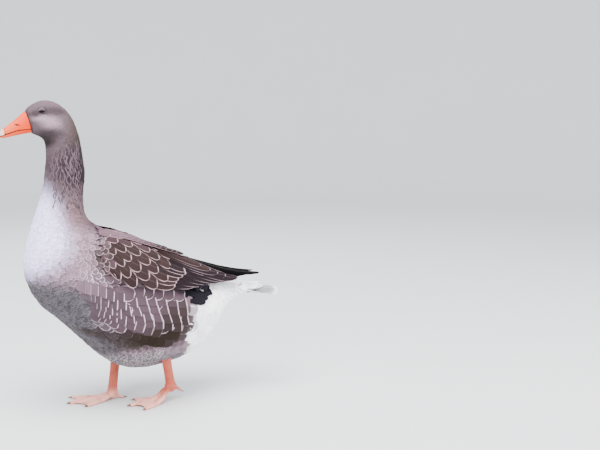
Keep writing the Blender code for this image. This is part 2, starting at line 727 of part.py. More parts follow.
def make_foot(leg, joint):
    side = leg.side
    centre = joint + Vector((0, 0, -KNUCKLE_DROP))
    foot = ball("foot_" + SIDE_NAMES[side], centre, KNUCKLE_SIZE, "skin", 16, 10)
    parts, ends = [], {}
    for toe in TOES + (HIND_TOE,):
        path, radii = toe_path(toe, leg, joint)
        parts.append(tube("toe", path, radii, 8, "skin", TOE_FLAT))
        ends[toe.name] = path
    parts.append(web("web", ends["inner"], ends["middle"]))
    parts.append(web("web", ends["middle"], ends["outer"]))
    combine(foot, parts, "UNION")
    for toe in TOES + (HIND_TOE,):
        claw = make_claw(toe, ends[toe.name], SIDE_NAMES[side])
        combine(claw, [swollen(foot, GAP)], "DIFFERENCE")
    floor = box_cutter((-1, -1, -0.1), (1, 1, 0))
    combine(foot, [floor], "DIFFERENCE")


def box_cutter(low, high):
    sides = [(a, b) for a, b in zip(low, high)]
    points = [Vector((x, y, z)) for x in sides[0] for y in sides[1] for z in sides[2]]
    faces = [(0, 1, 3, 2), (4, 6, 7, 5), (0, 4, 5, 1), (2, 3, 7, 6), (0, 2, 6, 4), (1, 5, 7, 3)]
    return mesh_object("cutter", points, faces, "skin")


def settle_origin():
    """Puts the origin under the middle of the whole bird, on the ground."""
    corners = [v.co for o in bpy.context.scene.objects for v in o.data.vertices]
    low = [min(c[k] for c in corners) for k in range(3)]
    high = [max(c[k] for c in corners) for k in range(3)]
    shift = Vector((-(low[0] + high[0]) / 2, -(low[1] + high[1]) / 2, -low[2]))
    for thing in bpy.context.scene.objects:
        for vertex in thing.data.vertices:
            vertex.co += shift


def shade():
    for thing in bpy.context.scene.objects:
        thing.data.shade_smooth()
        thing.data.set_sharp_from_angle(angle=SHARP_ANGLE)


def main():
    clear_scene()
    make_body()
    make_head()
    make_bill()
    for side in (LEFT, RIGHT):
        make_wing(side)
    make_tail()
    for leg in LEGS:
        make_leg(leg)
    settle_origin()
    shade()


main()
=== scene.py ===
"""A Danish landrace goose in mid-step: its looks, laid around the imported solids.

Metres, +Z up, the bird facing -X with its left side towards -Y. One skin stands for the flesh,
and feathers of solid mesh are laid over it from the bill backwards.
"""

import json
import math
from collections import namedtuple

import bmesh
import bpy
import numpy as np
from bpy.props import FloatProperty, FloatVectorProperty, IntProperty, PointerProperty
from bpy.types import Operator, Panel, PropertyGroup
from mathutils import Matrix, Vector, kdtree
from mathutils.bvhtree import BVHTree

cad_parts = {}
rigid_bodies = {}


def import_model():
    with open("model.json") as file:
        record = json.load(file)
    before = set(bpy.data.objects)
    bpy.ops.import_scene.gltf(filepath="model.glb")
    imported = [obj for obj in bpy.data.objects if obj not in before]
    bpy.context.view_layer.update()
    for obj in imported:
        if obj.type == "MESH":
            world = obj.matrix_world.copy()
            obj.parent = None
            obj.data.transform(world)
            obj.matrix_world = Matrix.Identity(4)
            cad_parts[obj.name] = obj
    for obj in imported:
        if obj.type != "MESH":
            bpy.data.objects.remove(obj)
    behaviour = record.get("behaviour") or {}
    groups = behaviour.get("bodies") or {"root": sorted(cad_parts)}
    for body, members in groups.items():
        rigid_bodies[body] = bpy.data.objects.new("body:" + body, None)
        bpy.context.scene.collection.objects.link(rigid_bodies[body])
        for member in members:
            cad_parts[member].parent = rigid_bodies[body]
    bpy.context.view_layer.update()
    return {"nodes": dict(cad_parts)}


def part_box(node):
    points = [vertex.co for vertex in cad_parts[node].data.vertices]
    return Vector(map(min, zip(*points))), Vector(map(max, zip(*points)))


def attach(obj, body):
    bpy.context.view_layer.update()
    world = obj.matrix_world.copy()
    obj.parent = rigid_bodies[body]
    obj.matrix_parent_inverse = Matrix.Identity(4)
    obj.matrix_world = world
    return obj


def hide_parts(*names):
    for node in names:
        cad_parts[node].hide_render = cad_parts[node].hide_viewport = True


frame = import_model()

bl_info = {
    "name": "Landrace goose",
    "version": (1, 0, 0),
    "blender": (4, 5, 0),
    "location": "View3D > Sidebar > Goose",
    "description": "Builds the skin, feathers, bill, eyes, legs and studio of a walking goose",
    "category": "Object",
}

BODY = "root"
LEFT, RIGHT = -1, 1
SIDE_NAMES = {LEFT: "left", RIGHT: "right"}
EYE_AT = (-0.2285, 0.0222, 0.6680)
EYE_RADIUS = 0.0075

# The named places below are measured on the bird by itself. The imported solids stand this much
# further along x, which the eye's own place tells.
EYE_LOW, EYE_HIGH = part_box("eye_left")
SHIFT = (EYE_LOW.x + EYE_HIGH.x) / 2 - EYE_AT[0]


def tone(red, green, blue):
    """A linear colour from the three numbers of a paint chart, 0 to 255."""
    shares = [value / 255 for value in (red, green, blue)]
    return tuple(s / 12.92 if s <= 0.04045 else ((s + 0.055) / 1.055) ** 2.4 for s in shares)


TONES = {
    "head": ("Head", "Face and crown", (86, 71, 77)),
    "cheek": ("Cheek", "Pale patch behind the bill", (140, 117, 122)),
    "eye_stripe": ("Eye stripe", "Darker band behind the eye", (60, 49, 53)),
    "nape": ("Nape", "Back of the head and of the upper neck", (58, 48, 40)),
    # Throat: partly the dark line under the chin, partly painted shade under the chin
    "throat": ("Throat", "Under the chin", (30, 24, 22)),
    "groove": ("Neck groove", "Between the neck's ridges", (39, 29, 35)),
    "ridge": ("Neck ridge", "Crest of the neck's ridges", (93, 76, 84)),
    "neck_back": ("Neck back", "Foot of the neck, behind", (92, 71, 75)),
    "breast": ("Breast", "Front of the lower neck and the crop", (216, 206, 250)),
    "breast_edge": ("Breast edge", "Feather edges of the breast", (246, 240, 255)),
    "breast_low": ("Lower breast", "Mottled front below the crop", (69, 65, 69)),
    "breast_low_edge": ("Lower breast edge", "Feather edges below the crop", (124, 116, 128)),
    "shoulder": ("Shoulder", "Feathers in front of the wing", (122, 98, 110)),
    "shoulder_edge": ("Shoulder edge", "Feather edges in front of the wing", (196, 174, 186)),
    "mantle": ("Mantle", "Back between the wings", (96, 74, 84)),
    "covert": ("Covert", "Wing coverts", (44, 32, 32)),
    "covert_edge": ("Covert edge", "Edges of the wing coverts", (176, 148, 150)),
    "tertial": ("Tertial", "Long inner feathers", (30, 23, 26)),
    "tertial_edge": ("Tertial edge", "Edges of the long feathers", (140, 122, 128)),
    "primary": ("Primary", "Flight feathers of the wing tip", (3, 3, 3)),
    "slate": ("Slate", "Lower back beside the white rump", (25, 22, 28)),
    "flank": ("Flank", "Large feathers of the side", (76, 61, 68)),
    "flank_edge": ("Flank edge", "Edges of the side feathers", (206, 182, 194)),
    "flank_rear": ("Rear flank", "Last feathers of the side", (49, 39, 40)),
    # Lower flank: painted shadow under the side's lower edge, its olive tint a painted reflection
    # of grass
    "flank_low": ("Lower flank", "Olive brown under the side", (37, 29, 23)),
    "belly": ("Belly", "Dirty white underside", (99, 91, 97)),
    "mottle": ("Mottle", "Grey marks on the belly", (58, 49, 60)),
    "white": ("White", "Vent and tail", (248, 247, 250)),
    "tail_grey": ("Tail grey", "Centres of the tail feathers", (82, 79, 86)),
    "bill": ("Bill", "Body of the bill", (212, 60, 4)),
    "bill_base": ("Bill base", "Next to the face", (212, 54, 0)),
    "bill_pink": ("Bill front", "Towards the nail", (210, 76, 30)),
    "nail": ("Nail", "Tip of the bill", (200, 180, 166)),
    "mouth": ("Mouth", "Line between the halves", (66, 14, 8)),
    "iris": ("Iris", "Ring round the pupil", (24, 13, 10)),
    "lid": ("Lid", "Bare rim of the eye", (22, 14, 14)),
    "leg": ("Leg", "Shanks and toes", (184, 80, 55)),
    # Leg shade: painted shade in the creases between the scales, and a darker mottle on shanks and
    # claws
    "leg_shade": ("Leg shade", "Folds and lower scales", (140, 62, 44)),
    "web": ("Web", "Skin between the toes", (246, 172, 156)),
    "claw": ("Claw", "Tips of the toes", (70, 54, 48)),
    "floor": ("Floor", "Studio floor", (210, 211, 212)),
}


class GooseColours(PropertyGroup):
    """The colours of the goose and of its floor"""


for key, (label, about, chart) in TONES.items():
    GooseColours.__annotations__[key] = FloatVectorProperty(
        name=label, description=about, default=tone(*chart), subtype="COLOR", min=0.0, max=1.0
    )


SIZES = {
    "skin_voxel": ("Skin detail", "Mesh size of the skin", 0.003, "LENGTH"),
    "leg_voxel": ("Leg detail", "Mesh size of shanks and feet", 0.00095, "LENGTH"),
    "bill_voxel": ("Bill detail", "Mesh size of the bill", 0.0008, "LENGTH"),
    "spacing": ("Feather spacing", "Gap between roots, in feather lengths", 0.29, "NONE"),
    "coat_base": ("Coat base", "Depth of the shortest coat", 0.0005, "LENGTH"),
    "coat_share": ("Coat depth", "Further depth, in feather lengths", 0.055, "NONE"),
}


class GooseSizes(PropertyGroup):
    """The sizes that the skin and the coat are made from"""

    seed: IntProperty(name="Seed", description="Start of the coat's random draws", default=7)


for key, (label, about, size, measure) in SIZES.items():
    GooseSizes.__annotations__[key] = FloatProperty(
        name=label, description=about, default=size, unit=measure
    )


# Where the coat is combed: a place on the left or right half, the way the feathers lie there
# (y outwards) and their length. Between these places the coat blends.
Comb = namedtuple("Comb", "at lie length")
COMBS = (
    Comb((-0.243, 0.000, 0.681), (0.8, 0.0, 0.5), 0.0042),  # forehead
    Comb((-0.205, 0.000, 0.690), (1.0, 0.0, 0.0), 0.0060),  # crown
    Comb((-0.160, 0.000, 0.655), (0.5, 0.0, -0.9), 0.0082),  # back of the head
    Comb((-0.143, 0.000, 0.610), (0.1, 0.0, -1.0), 0.0105),  # nape
    Comb((-0.246, 0.020, 0.645), (1.0, 0.1, 0.0), 0.0042),  # lore
    Comb((-0.218, 0.034, 0.640), (1.0, 0.1, -0.2), 0.0056),  # cheek
    Comb((-0.183, 0.036, 0.650), (0.8, 0.0, -0.6), 0.0072),  # ear
    Comb((-0.240, 0.000, 0.620), (1.0, 0.0, -0.1), 0.0048),  # chin
    Comb((-0.219, 0.010, 0.600), (0.3, 0.0, -1.0), 0.0080),  # throat
    Comb((-0.178, 0.034, 0.575), (0.0, 0.0, -1.0), 0.0140),  # upper neck
    Comb((-0.216, 0.000, 0.540), (0.0, 0.0, -1.0), 0.0140),  # neck front
    Comb((-0.135, 0.000, 0.540), (0.0, 0.0, -1.0), 0.0150),  # neck back
    Comb((-0.240, 0.000, 0.445), (-0.3, 0.0, -1.0), 0.0140),  # lower neck front
    Comb((-0.190, 0.050, 0.450), (-0.1, 0.2, -1.0), 0.0145),  # lower neck side
    Comb((-0.138, 0.000, 0.470), (0.4, 0.0, -1.0), 0.0160),  # neck foot back
    Comb((-0.266, 0.000, 0.350), (0.0, 0.0, -1.0), 0.0155),  # crop
    Comb((-0.210, 0.098, 0.310), (0.45, 0.2, -1.0), 0.0165),  # breast side
    Comb((-0.245, 0.000, 0.250), (0.5, 0.0, -0.9), 0.0175),  # breast front
    Comb((-0.190, 0.030, 0.190), (1.0, 0.0, -0.7), 0.0210),  # lower breast
    Comb((-0.145, 0.115, 0.340), (0.8, 0.2, -0.6), 0.0185),  # shoulder
    Comb((-0.120, 0.020, 0.420), (0.9, 0.15, -0.5), 0.0190),  # mantle front
    Comb((0.000, 0.000, 0.353), (1.0, 0.0, -0.45), 0.0300),  # back
    Comb((0.130, 0.030, 0.288), (1.0, 0.0, -0.35), 0.0300),  # rump
    Comb((-0.110, 0.130, 0.240), (0.9, 0.0, -0.5), 0.0380),  # front flank
    Comb((0.000, 0.134, 0.210), (0.95, 0.0, -0.3), 0.0440),  # flank
    Comb((0.080, 0.110, 0.200), (1.0, -0.2, -0.1), 0.0380),  # rear flank
    Comb((-0.060, 0.090, 0.130), (1.0, 0.0, -0.3), 0.0230),  # belly side
    Comb((-0.070, 0.000, 0.092), (1.0, 0.0, 0.0), 0.0210),  # belly
    Comb((0.020, 0.090, 0.115), (0.6, 0.0, -0.8), 0.0170),  # thigh
    Comb((-0.042, 0.075, 0.108), (0.6, 0.0, -0.8), 0.0170),  # far thigh
    Comb((0.060, 0.000, 0.085), (1.0, 0.0, 0.1), 0.0220),  # rear belly
    Comb((0.150, 0.000, 0.145), (0.8, 0.0, 0.6), 0.0270),  # vent
    Comb((0.140, 0.070, 0.210), (0.95, -0.2, 0.15), 0.0290),  # vent side
    Comb((0.215, 0.000, 0.222), (0.9, 0.0, 0.25), 0.0400),  # under the tail
    Comb((0.220, 0.020, 0.262), (1.0, 0.0, -0.25), 0.0360),  # over the tail
)
COMB_BLUR = 0.018

# What the coat is painted with, one soft egg-shaped patch over the other, from below
Patch = namedtuple("Patch", "at radii soft ground edge strength speckle")
PATCHES = (
    Patch((-0.190, 0.0, 0.620), (0.12, 0.09, 0.165), 0.12,
          "head", "cheek", 0.3, 0.1),  # head and neck
    Patch((-0.148, 0.0, 0.620), (0.036, 0.045, 0.060), 0.6, "nape", "head", 0.3, 0.1),  # nape
    Patch((-0.205, 0.0, 0.694), (0.040, 0.020, 0.010), 0.5,
          "neck_back", "cheek", 0.4, 0.1),  # crown
    Patch((-0.195, 0.034, 0.670), (0.050, 0.020, 0.009), 0.5,
          "eye_stripe", "head", 0.3, 0.1),  # eye stripe
    Patch((-0.234, 0.030, 0.652), (0.018, 0.020, 0.006), 0.8,
          "cheek", "breast", 0.3, 0.1),  # under the eye
    Patch((-0.216, 0.034, 0.643), (0.018, 0.020, 0.011), 0.9, "cheek", "breast", 0.3, 0.1),  # cheek
    Patch((-0.2450, 0.022, 0.6615), (0.0085, 0.020, 0.0060), 0.6,
          "eye_stripe", "eye_stripe", 0.3, 0.1),  # lore
    Patch((-0.2290, 0.026, 0.6650), (0.0120, 0.020, 0.0050), 0.5,
          "eye_stripe", "eye_stripe", 0.3, 0.1),  # eye
    Patch((-0.220, 0.034, 0.620), (0.029, 0.030, 0.009), 0.8,
          "eye_stripe", "head", 0.3, 0.1),  # jaw
    # Throat: darker under the chin, partly its own dark line and partly painted shade
    Patch((-0.228, 0.0, 0.607), (0.034, 0.034, 0.014), 0.5, "throat", "head", 0.2, 0.1),  # throat
    Patch((-0.160, 0.0, 0.550), (0.053, 0.060, 0.064), 0.32,
          "groove", "head", 0.3, 0.2),  # ridged neck
    Patch((-0.150, 0.0, 0.450), (0.052, 0.075, 0.062), 0.35,
          "neck_back", "cheek", 0.4, 0.1),  # neck foot
    Patch((-0.085, 0.0, 0.410), (0.070, 0.090, 0.040), 0.3,
          "mantle", "shoulder_edge", 0.8, 0.2),  # mantle
    Patch((-0.252, 0.0, 0.436), (0.056, 0.085, 0.082), 0.45,
          "breast", "breast_edge", 0.3, 0.08),  # lower neck
    Patch((-0.200, 0.0, 0.220), (0.150, 0.170, 0.108), 0.18, "breast_low",
          "breast_low_edge", 0.5, 0.35),  # lower breast
    Patch((-0.140, 0.105, 0.345), (0.052, 0.060, 0.062), 0.35, "shoulder",
          "shoulder_edge", 0.7, 0.2),  # shoulder
    Patch((-0.275, 0.0, 0.392), (0.090, 0.120, 0.068), 0.4,
          "breast", "breast_edge", 0.3, 0.10),  # crop
    Patch((-0.150, 0.115, 0.320), (0.034, 0.060, 0.014), 0.8,
          "shoulder", "breast_edge", 0.9, 0.1),  # bend of the wing
    Patch((-0.111, 0.110, 0.352), (0.042, 0.060, 0.043), 0.45,
          "flank_rear", "covert_edge", 0.9, 0.2),  # wing front
    Patch((0.020, 0.0, 0.360), (0.120, 0.075, 0.055), 0.3,
          "covert", "shoulder_edge", 0.6, 0.2),  # back
    Patch((-0.020, 0.0, 0.070), (0.200, 0.150, 0.085), 0.2, "belly", "white", 0.4, 0.3),  # belly
    Patch((-0.125, 0.0, 0.155), (0.080, 0.110, 0.024), 0.4,
          "breast_low", "belly", 0.6, 0.5),  # belly front
    Patch((-0.050, 0.140, 0.235), (0.120, 0.085, 0.090), 0.3,
          "flank", "flank_edge", 1.0, 0.15),  # flank
    Patch((0.035, 0.130, 0.195), (0.046, 0.060, 0.055), 0.5,
          "flank_rear", "flank_edge", 0.9, 0.1),  # rear flank
    # Fold in front and fold: painted shadow under the front of the flank, in the rear flank's dark
    # colour with flank_low edges
    Patch((-0.152, 0.080, 0.200), (0.032, 0.050, 0.012), 0.6,
          "flank_rear", "flank_low", 0.5, 0.3),  # fold in front
    Patch((-0.105, 0.105, 0.186), (0.048, 0.060, 0.014), 0.6,
          "flank_rear", "flank_low", 0.4, 0.3),  # fold
    # Lower flank: a band of painted shadow along the flank's lower edge, in the flank_low colour
    Patch((-0.026, 0.115, 0.166), (0.096, 0.060, 0.022), 0.5,
          "flank_low", "flank_low", 0.4, 0.2),  # lower flank
    Patch((0.172, 0.0, 0.175), (0.122, 0.200, 0.125), 0.06, "white", "white", 0.0, 0.06),  # rear
    Patch((0.090, 0.110, 0.268), (0.040, 0.060, 0.022), 0.12,
          "slate", "slate", 0.0, 0.1),  # slate mark
    Patch((0.080, 0.0, 0.315), (0.080, 0.060, 0.030), 0.2,
          "slate", "mantle", 0.4, 0.1),  # lower back
    Patch((0.280, 0.0, 0.250), (0.115, 0.120, 0.060), 0.1, "white", "white", 0.0, 0.06),  # tail
)

# The folded wing is a curved sheet between two edges, shoulder to tip, as (x, y, z)
WING_TOP = (
    (-0.122, 0.060, 0.403),
    (-0.062, 0.040, 0.392),
    (0.000, 0.030, 0.366),
    (0.062, 0.026, 0.339),
    (0.124, 0.023, 0.314),
    (0.186, 0.021, 0.292),
    (0.240, 0.019, 0.278),
    (0.292, 0.017, 0.270),
)
WING_LOW = (
    (-0.132, 0.110, 0.340),
    (-0.085, 0.132, 0.294),
    (-0.020, 0.134, 0.280),
    (0.045, 0.125, 0.272),
    (0.105, 0.100, 0.266),
    (0.165, 0.070, 0.263),
    (0.225, 0.045, 0.263),
    (0.292, 0.022, 0.266),
)
WING_BULGE = (0.006, 0.014, 0.013, 0.011, 0.009, 0.006, 0.003, 0.001)

# The pad under the coverts: its heights from the bend of the wing to its end, where it starts and
# ends as shares of the wing, its least height, how deep it sinks and how far its front drops
PAD_HEIGHTS = (0.0062, 0.0125, 0.0122, 0.0118, 0.0108, 0.0092, 0.0074, 0.0055, 0.0036, 0.0022)
PAD_START, PAD_END = 0.10, 0.62
PAD_EDGE = 0.0020
PAD_SINK = 0.018
PAD_FRONT = 0.014
EDGE_DROP = 0.0080

# Tiers of the wing, the long ones as the solids have them: places are (along, across) shares of
# the wing for a tier's first and last feather, lift is its height over the sheet at start and
# end, and paint is the first and last feather's ground, the edge, and how strong the edge is
Tier = namedtuple("Tier", "name count root root_last tip tip_last half_width lift stack tilt paint")
TIERS = (
    Tier("primary", 6, (0.50, 0.55), (0.38, 0.98), (0.84, 0.46), (1.00, 0.74),
         0.0095, (0.0006, 0.0006), 0.00115, 0.0, ("primary", "primary", "tertial", 0.5)),
    Tier("secondary", 6, (0.33, 0.12), (0.44, 0.58), (0.53, 0.10), (0.84, 0.20),
         0.0150, (0.0080, 0.0066), 0.0, 0.00130, ("tertial", "tertial", "tertial_edge", 0.9)),
    Tier("tertial", 4, (0.33, 0.62), (0.29, 0.84), (0.75, 0.34), (0.58, 0.60),
         0.0150, (0.0105, 0.0086), 0.00120, 0.0, ("tertial", "covert", "tertial_edge", 0.9)),
    Tier("greater covert", 6, (0.22, 0.10), (0.27, 0.56), (0.40, 0.07), (0.48, 0.38),
         0.0140, (0.0108, 0.0102), 0.0, 0.00120, ("covert", "tertial", "covert_edge", 0.85)),
    Tier("scapular", 12, (0.00, 0.90), (0.31, 0.97), (0.13, 0.82), (0.48, 0.80),
         0.0125, (0.0132, 0.0124), 0.0, 0.0, ("mantle", "tertial", "covert_edge", 0.9)),
)
SCAPULAR_STEP = 0.00105
VANE_SINK = 0.0030
WING_REACH = {LEFT: 0.985, RIGHT: 1.0}
WING_SEEDS = {LEFT: 11, RIGHT: 23}

# The small coverts: their rows, their length as a share of the wing, how far a feather rises from
# root to tip, lies below the pad at its root and tilts under the next one
COVERT_ROWS = 8
COVERT_LENGTH = 0.105
COVERT_RISE, COVERT_SINK, COVERT_TILT = 0.0032, 0.0004, 0.0011

# How much one feather's tip (a share of the wing) and width differ from the next one's
VARIED_TIP, VARIED_COVERT_TIP = 0.005, 0.013
VARIED_WIDTH = 0.05

# How far the plain form that stands for a wing's coverts lies over the pad
COVER_DEPTH = 0.0042

# Breadth of one small feather's patch on the baking map
TUFT_PATCH = 0.003

# A feather's outline: shares of its length, half widths there, and the lines across it
Form = namedtuple("Form", "steps widths lines camber thick")
FACE_FORM = Form((0.0, 0.45, 0.85, 1.0), (0.5, 1.0, 0.75, 0.3), (-1.0, 0.0, 1.0), 0.10, 0.0003)
BODY_FORM = Form((0.0, 0.34, 0.7, 0.91, 1.0), (0.5, 0.92, 1.0, 0.7, 0.3), (-1.0, 0.0, 1.0),
                 0.10, 0.0004)
LARGE_FORM = Form((0.0, 0.25, 0.5, 0.72, 0.88, 0.96, 1.0), (0.45, 0.78, 0.96, 1.0, 1.0, 0.94, 0.78),
                  (-1.0, -0.55, 0.0, 0.55, 1.0), 0.03, 0.0004)
LOCK_FORM = Form((0.0, 0.09, 0.18, 0.27, 0.36, 0.45, 0.54, 0.63, 0.72, 0.81, 0.91, 1.0),
                 (0.4, 0.7, 0.9, 1.0, 1.0, 0.98, 0.94, 0.88, 0.78, 0.62, 0.4, 0.1),
                 (-1.0, 0.0, 1.0), 0.62, 0.0008)
VANE_FORM = Form((0.0, 0.08, 0.22, 0.42, 0.6, 0.75, 0.86, 0.93, 0.975, 1.0),
                 (0.5, 0.7, 0.9, 1.0, 1.0, 0.95, 0.8, 0.6, 0.36, 0.12),
                 (-1.0, -0.55, 0.0, 0.55, 1.0), 0.06, 0.0005)
COVERT_FORM = Form((0.0, 0.2, 0.4, 0.56, 0.69, 0.80, 0.89, 0.95, 0.985, 1.0),
                   (0.5, 0.72, 0.9, 0.99, 1.0, 0.92, 0.76, 0.57, 0.36, 0.15),
                   (-1.0, -0.55, 0.0, 0.55, 1.0), 0.06, 0.0005)

made = {}


def sizes():
    return bpy.context.scene.goose_sizes


def colour(name):
    return tuple(getattr(bpy.context.scene.goose_colours, name))


# Materials


class Wire:
    """A socket of a finish, on which plain arithmetic adds Math nodes"""

    def __init__(self, finish, socket):
        self.finish = finish
        self.socket = socket

    def maths(self, operation, *others):
        values = dict(enumerate((self,) + others))
        return self.finish.node("ShaderNodeMath", {"operation": operation}, values)

    def __add__(self, other):
        return self.maths("ADD", other)

    def __sub__(self, other):
        return self.maths("SUBTRACT", other)

    def __rsub__(self, other):
        return self.finish.node("ShaderNodeMath", {"operation": "SUBTRACT"}, {0: other, 1: self})

    def __mul__(self, other):
        return self.maths("MULTIPLY", other)

    def __truediv__(self, other):
        return self.maths("DIVIDE", other)

    __radd__ = __add__
    __rmul__ = __mul__

    def absolute(self):
        return self.maths("ABSOLUTE")

    def larger(self, other):
        return self.maths("MAXIMUM", other)

    def ramp(self, low, high):
        """0 below low, 1 above high, smooth between"""
        settings = {"interpolation_type": "SMOOTHSTEP", "clamp": True}
        values = {"Value": self, "From Min": low, "From Max": high, "To Min": 0.0, "To Max": 1.0}
        return self.finish.node("ShaderNodeMapRange", settings, values)


class Finish:
    """A material for one finish of the goose, with its constants set on the shader's sockets"""

    def __init__(self, name, **constants):
        self.material = bpy.data.materials.new(name)
        self.material.use_nodes = True
        self.tree = self.material.node_tree
        self.shader = self.tree.nodes["Principled BSDF"]
        for socket, value in constants.items():
            socket = socket.replace("_", " ").title().replace("Ior", "IOR")
            self.shader.inputs[socket].default_value = value

    def node(self, kind, settings=None, values=None, output=0):
        made_node = self.tree.nodes.new(kind)
        for key, value in (settings or {}).items():
            setattr(made_node, key, value)
        for key, value in (values or {}).items():
            if isinstance(value, Wire):
                self.tree.links.new(value.socket, made_node.inputs[key])
            elif value is not None:
                made_node.inputs[key].default_value = value
        return Wire(self, made_node.outputs[output])

    def attribute(self, name, output="Color"):
        return self.node("ShaderNodeAttribute", {"attribute_name": name}, output=output)

    def parts(self, vector):
        return [self.node("ShaderNodeSeparateXYZ", values={"Vector": vector}, output=k)
                for k in range(3)]

    def place(self):
        return self.node("ShaderNodeTexCoord", output="Object")

    def joined(self, x, y, z):
        return self.node("ShaderNodeCombineXYZ", values={"X": x, "Y": y, "Z": z})

    def noise(self, where, scale, detail=2.0):
        values = {"Vector": where, "Scale": scale, "Detail": detail}
        return self.node("ShaderNodeTexNoise", values=values, output="Fac")

    def mix(self, share, first, second):
        """One colour over the other, by a share that may be a wire"""
        first = first if isinstance(first, Wire) else (*first, 1.0)
        second = second if isinstance(second, Wire) else (*second, 1.0)
        values = {0: share, 6: first, 7: second}
        return self.node("ShaderNodeMix", {"data_type": "RGBA"}, values, output=2)

    def lit(self, base, value):
        """A colour made darker or lighter by a number near 1"""
        grey = self.joined(value, value, value)
        return self.node("ShaderNodeMix", {"data_type": "RGBA", "blend_type": "MULTIPLY"},
                         {0: 1.0, 6: base, 7: grey}, output=2)

    def show(self, base, height=None, depth=0.0005, strength=1.0):
        self.tree.links.new(base.socket, self.shader.inputs["Base Color"])
        if height is not None:
            values = {"Height": height, "Distance": depth, "Strength": strength}
            bump = self.node("ShaderNodeBump", values=values)
            self.tree.links.new(bump.socket, self.shader.inputs["Normal"])
        return self.material


def feather_finish(name, side_edge, tip_edge, shaft=0.0, gloss=0.82, streak=0.34, tip_light=0.25,
                   shine=0.2):
    """Ground and edge colours come with each feather; barbs run out from its shaft"""
    finish = Finish(name, roughness=gloss, specular_ior_level=shine)
    across, along, tint = finish.parts(finish.attribute("vane", "Vector"))
    side = across.absolute()
    barbs = finish.noise(finish.joined(along * 26.0 - side * 9.0, side * 1.6, tint * 57.0), 1.0)
    fine_at = finish.joined(along * 70.0 - side * 22.0, side * 2.0, tint * 31.0)
    fine = finish.noise(fine_at, 1.0, 1.0)
    wavy = (barbs - 0.5) * 0.5
    edge = (side + wavy * side_edge - (1 - side_edge)) / max(side_edge, 0.001)
    edge = edge * along.ramp(0.25, 0.7)
    tip = (along + wavy * tip_edge - (1 - tip_edge)) / tip_edge
    rim = edge.larger(tip).ramp(0.0, 0.75) * finish.attribute("rim", "Alpha")
    light = (barbs - 0.5) * streak + (tint - 0.5) * 0.22
    light = light + along * tip_light + (1 - tip_light * 0.62)
    ground = finish.lit(finish.attribute("ground"), light)
    base = finish.mix(rim, ground, finish.attribute("rim"))
    if shaft:
        line = (1 - side.ramp(0.01, 0.04)) * shaft
        base = finish.mix(line, base, colour("covert_edge"))
    return finish.show(base, height=barbs * 0.6 + fine * 0.4, depth=0.0004, strength=0.5)


def skin_finish():
    finish = Finish("down", roughness=0.9, specular_ior_level=0.2)
    fuzz = finish.noise(finish.place(), 420.0, 3.0)
    base = finish.lit(finish.attribute("ground"), fuzz * 0.5 + 0.5)
    return finish.show(base, height=fuzz, depth=0.0006)


# Small tools


def activate(*items):
    """Selects these objects alone, and makes the first of them the active one"""
    for item in bpy.data.objects:
        item.select_set(item in items)
    bpy.context.view_layer.objects.active = items[0]


def apply(item, kind, **settings):
    """Adds a modifier, sets it and applies it"""
    activate(item)
    modifier = item.modifiers.new(kind.title(), kind)
    for key, value in settings.items():
        setattr(modifier, key, value)
    bpy.ops.object.modifier_apply(modifier=modifier.name)


def soften(item, voxel, rounds):
    """Gives a form an even mesh, with its edges rounded"""
    apply(item, "REMESH", mode="VOXEL", voxel_size=voxel)
    apply(item, "SMOOTH", factor=0.5, iterations=rounds)


def merge(parts, name):
    activate(*parts)
    bpy.ops.object.join()
    item = bpy.context.active_object
    item.name = item.data.name = name
    return item


def linked(name, mesh):
    item = bpy.data.objects.new(name, mesh)
    bpy.context.scene.collection.objects.link(item)
    return item


def object_from(work, name):
    """The mesh that was worked on, as an object of the scene"""
    mesh = bpy.data.meshes.new(name)
    work.to_mesh(mesh)
    work.free()
    return linked(name, mesh)


def node_copy(names, title, swell=0.0):
    """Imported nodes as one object, their loose triangles joined up, swollen but for the soles"""
    work = bmesh.new()
    for name in names:
        work.from_mesh(frame["nodes"][name].data)
    bmesh.ops.remove_doubles(work, verts=work.verts, dist=1e-6)
    work.normal_update()
    for vertex, way in [(v, v.normal.copy()) for v in work.verts if v.co.z > 0.001]:
        vertex.co += way * swell
    return object_from(work, title)


def weave(work, first, second, closed=False):
    """Faces between two rows of points, which may run round"""
    for k in range(len(first) if closed else len(first) - 1):
        j = (k + 1) % len(first)
        work.faces.new((first[k], first[j], second[j], second[k]))


def read_points(item):
    """A mesh's points and their normals, as arrays"""
    arrays = []
    for key in ("co", "normal"):
        values = np.empty(len(item.data.vertices) * 3)
        item.data.vertices.foreach_get(key, values)
        arrays.append(values.reshape(-1, 3))
    return arrays


def write_points(item, points):
    item.data.vertices.foreach_set("co", points.ravel())
    item.data.update()


def mark(mesh, name, kind, values):
    """Gives each point of a mesh what its finish reads there"""
    key = {"FLOAT": "value", "FLOAT_VECTOR": "vector", "FLOAT_COLOR": "color"}[kind]
    attribute = mesh.attributes.new(name, kind, "POINT")
    attribute.data.foreach_set(key, np.asarray(values, dtype=np.float32).ravel())


def with_alpha(colours, alphas):
    return np.concatenate([colours, alphas[:, None]], axis=1)


def wear(item, finish):
    item.data.shade_smooth()
    item.data.materials.clear()
    item.data.materials.append(finish)


def settle(item, slot, *replaced):
    """Hands a finished piece to the frame"""
    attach(item, BODY)
    if replaced:
        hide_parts(*replaced)
    made[item.name] = item


def folded(points):
    """The same points, all on one half of the bird"""
    return np.stack([points[:, 0], np.abs(points[:, 1]), points[:, 2]], axis=1)


def tree_of(points):
    tree = kdtree.KDTree(len(points))
    for index, point in enumerate(points):
        tree.insert(point, index)
    tree.balance()
    return tree


def coat_depth(length):
    return sizes().coat_base + sizes().coat_share * length


def patch_at(face):
    """The place of a face of the skin on the baking map"""
    mesh = made["skin"].data
    return mesh.uv_layers["OFBake"].data[mesh.polygons[face].loop_start].uv.copy()


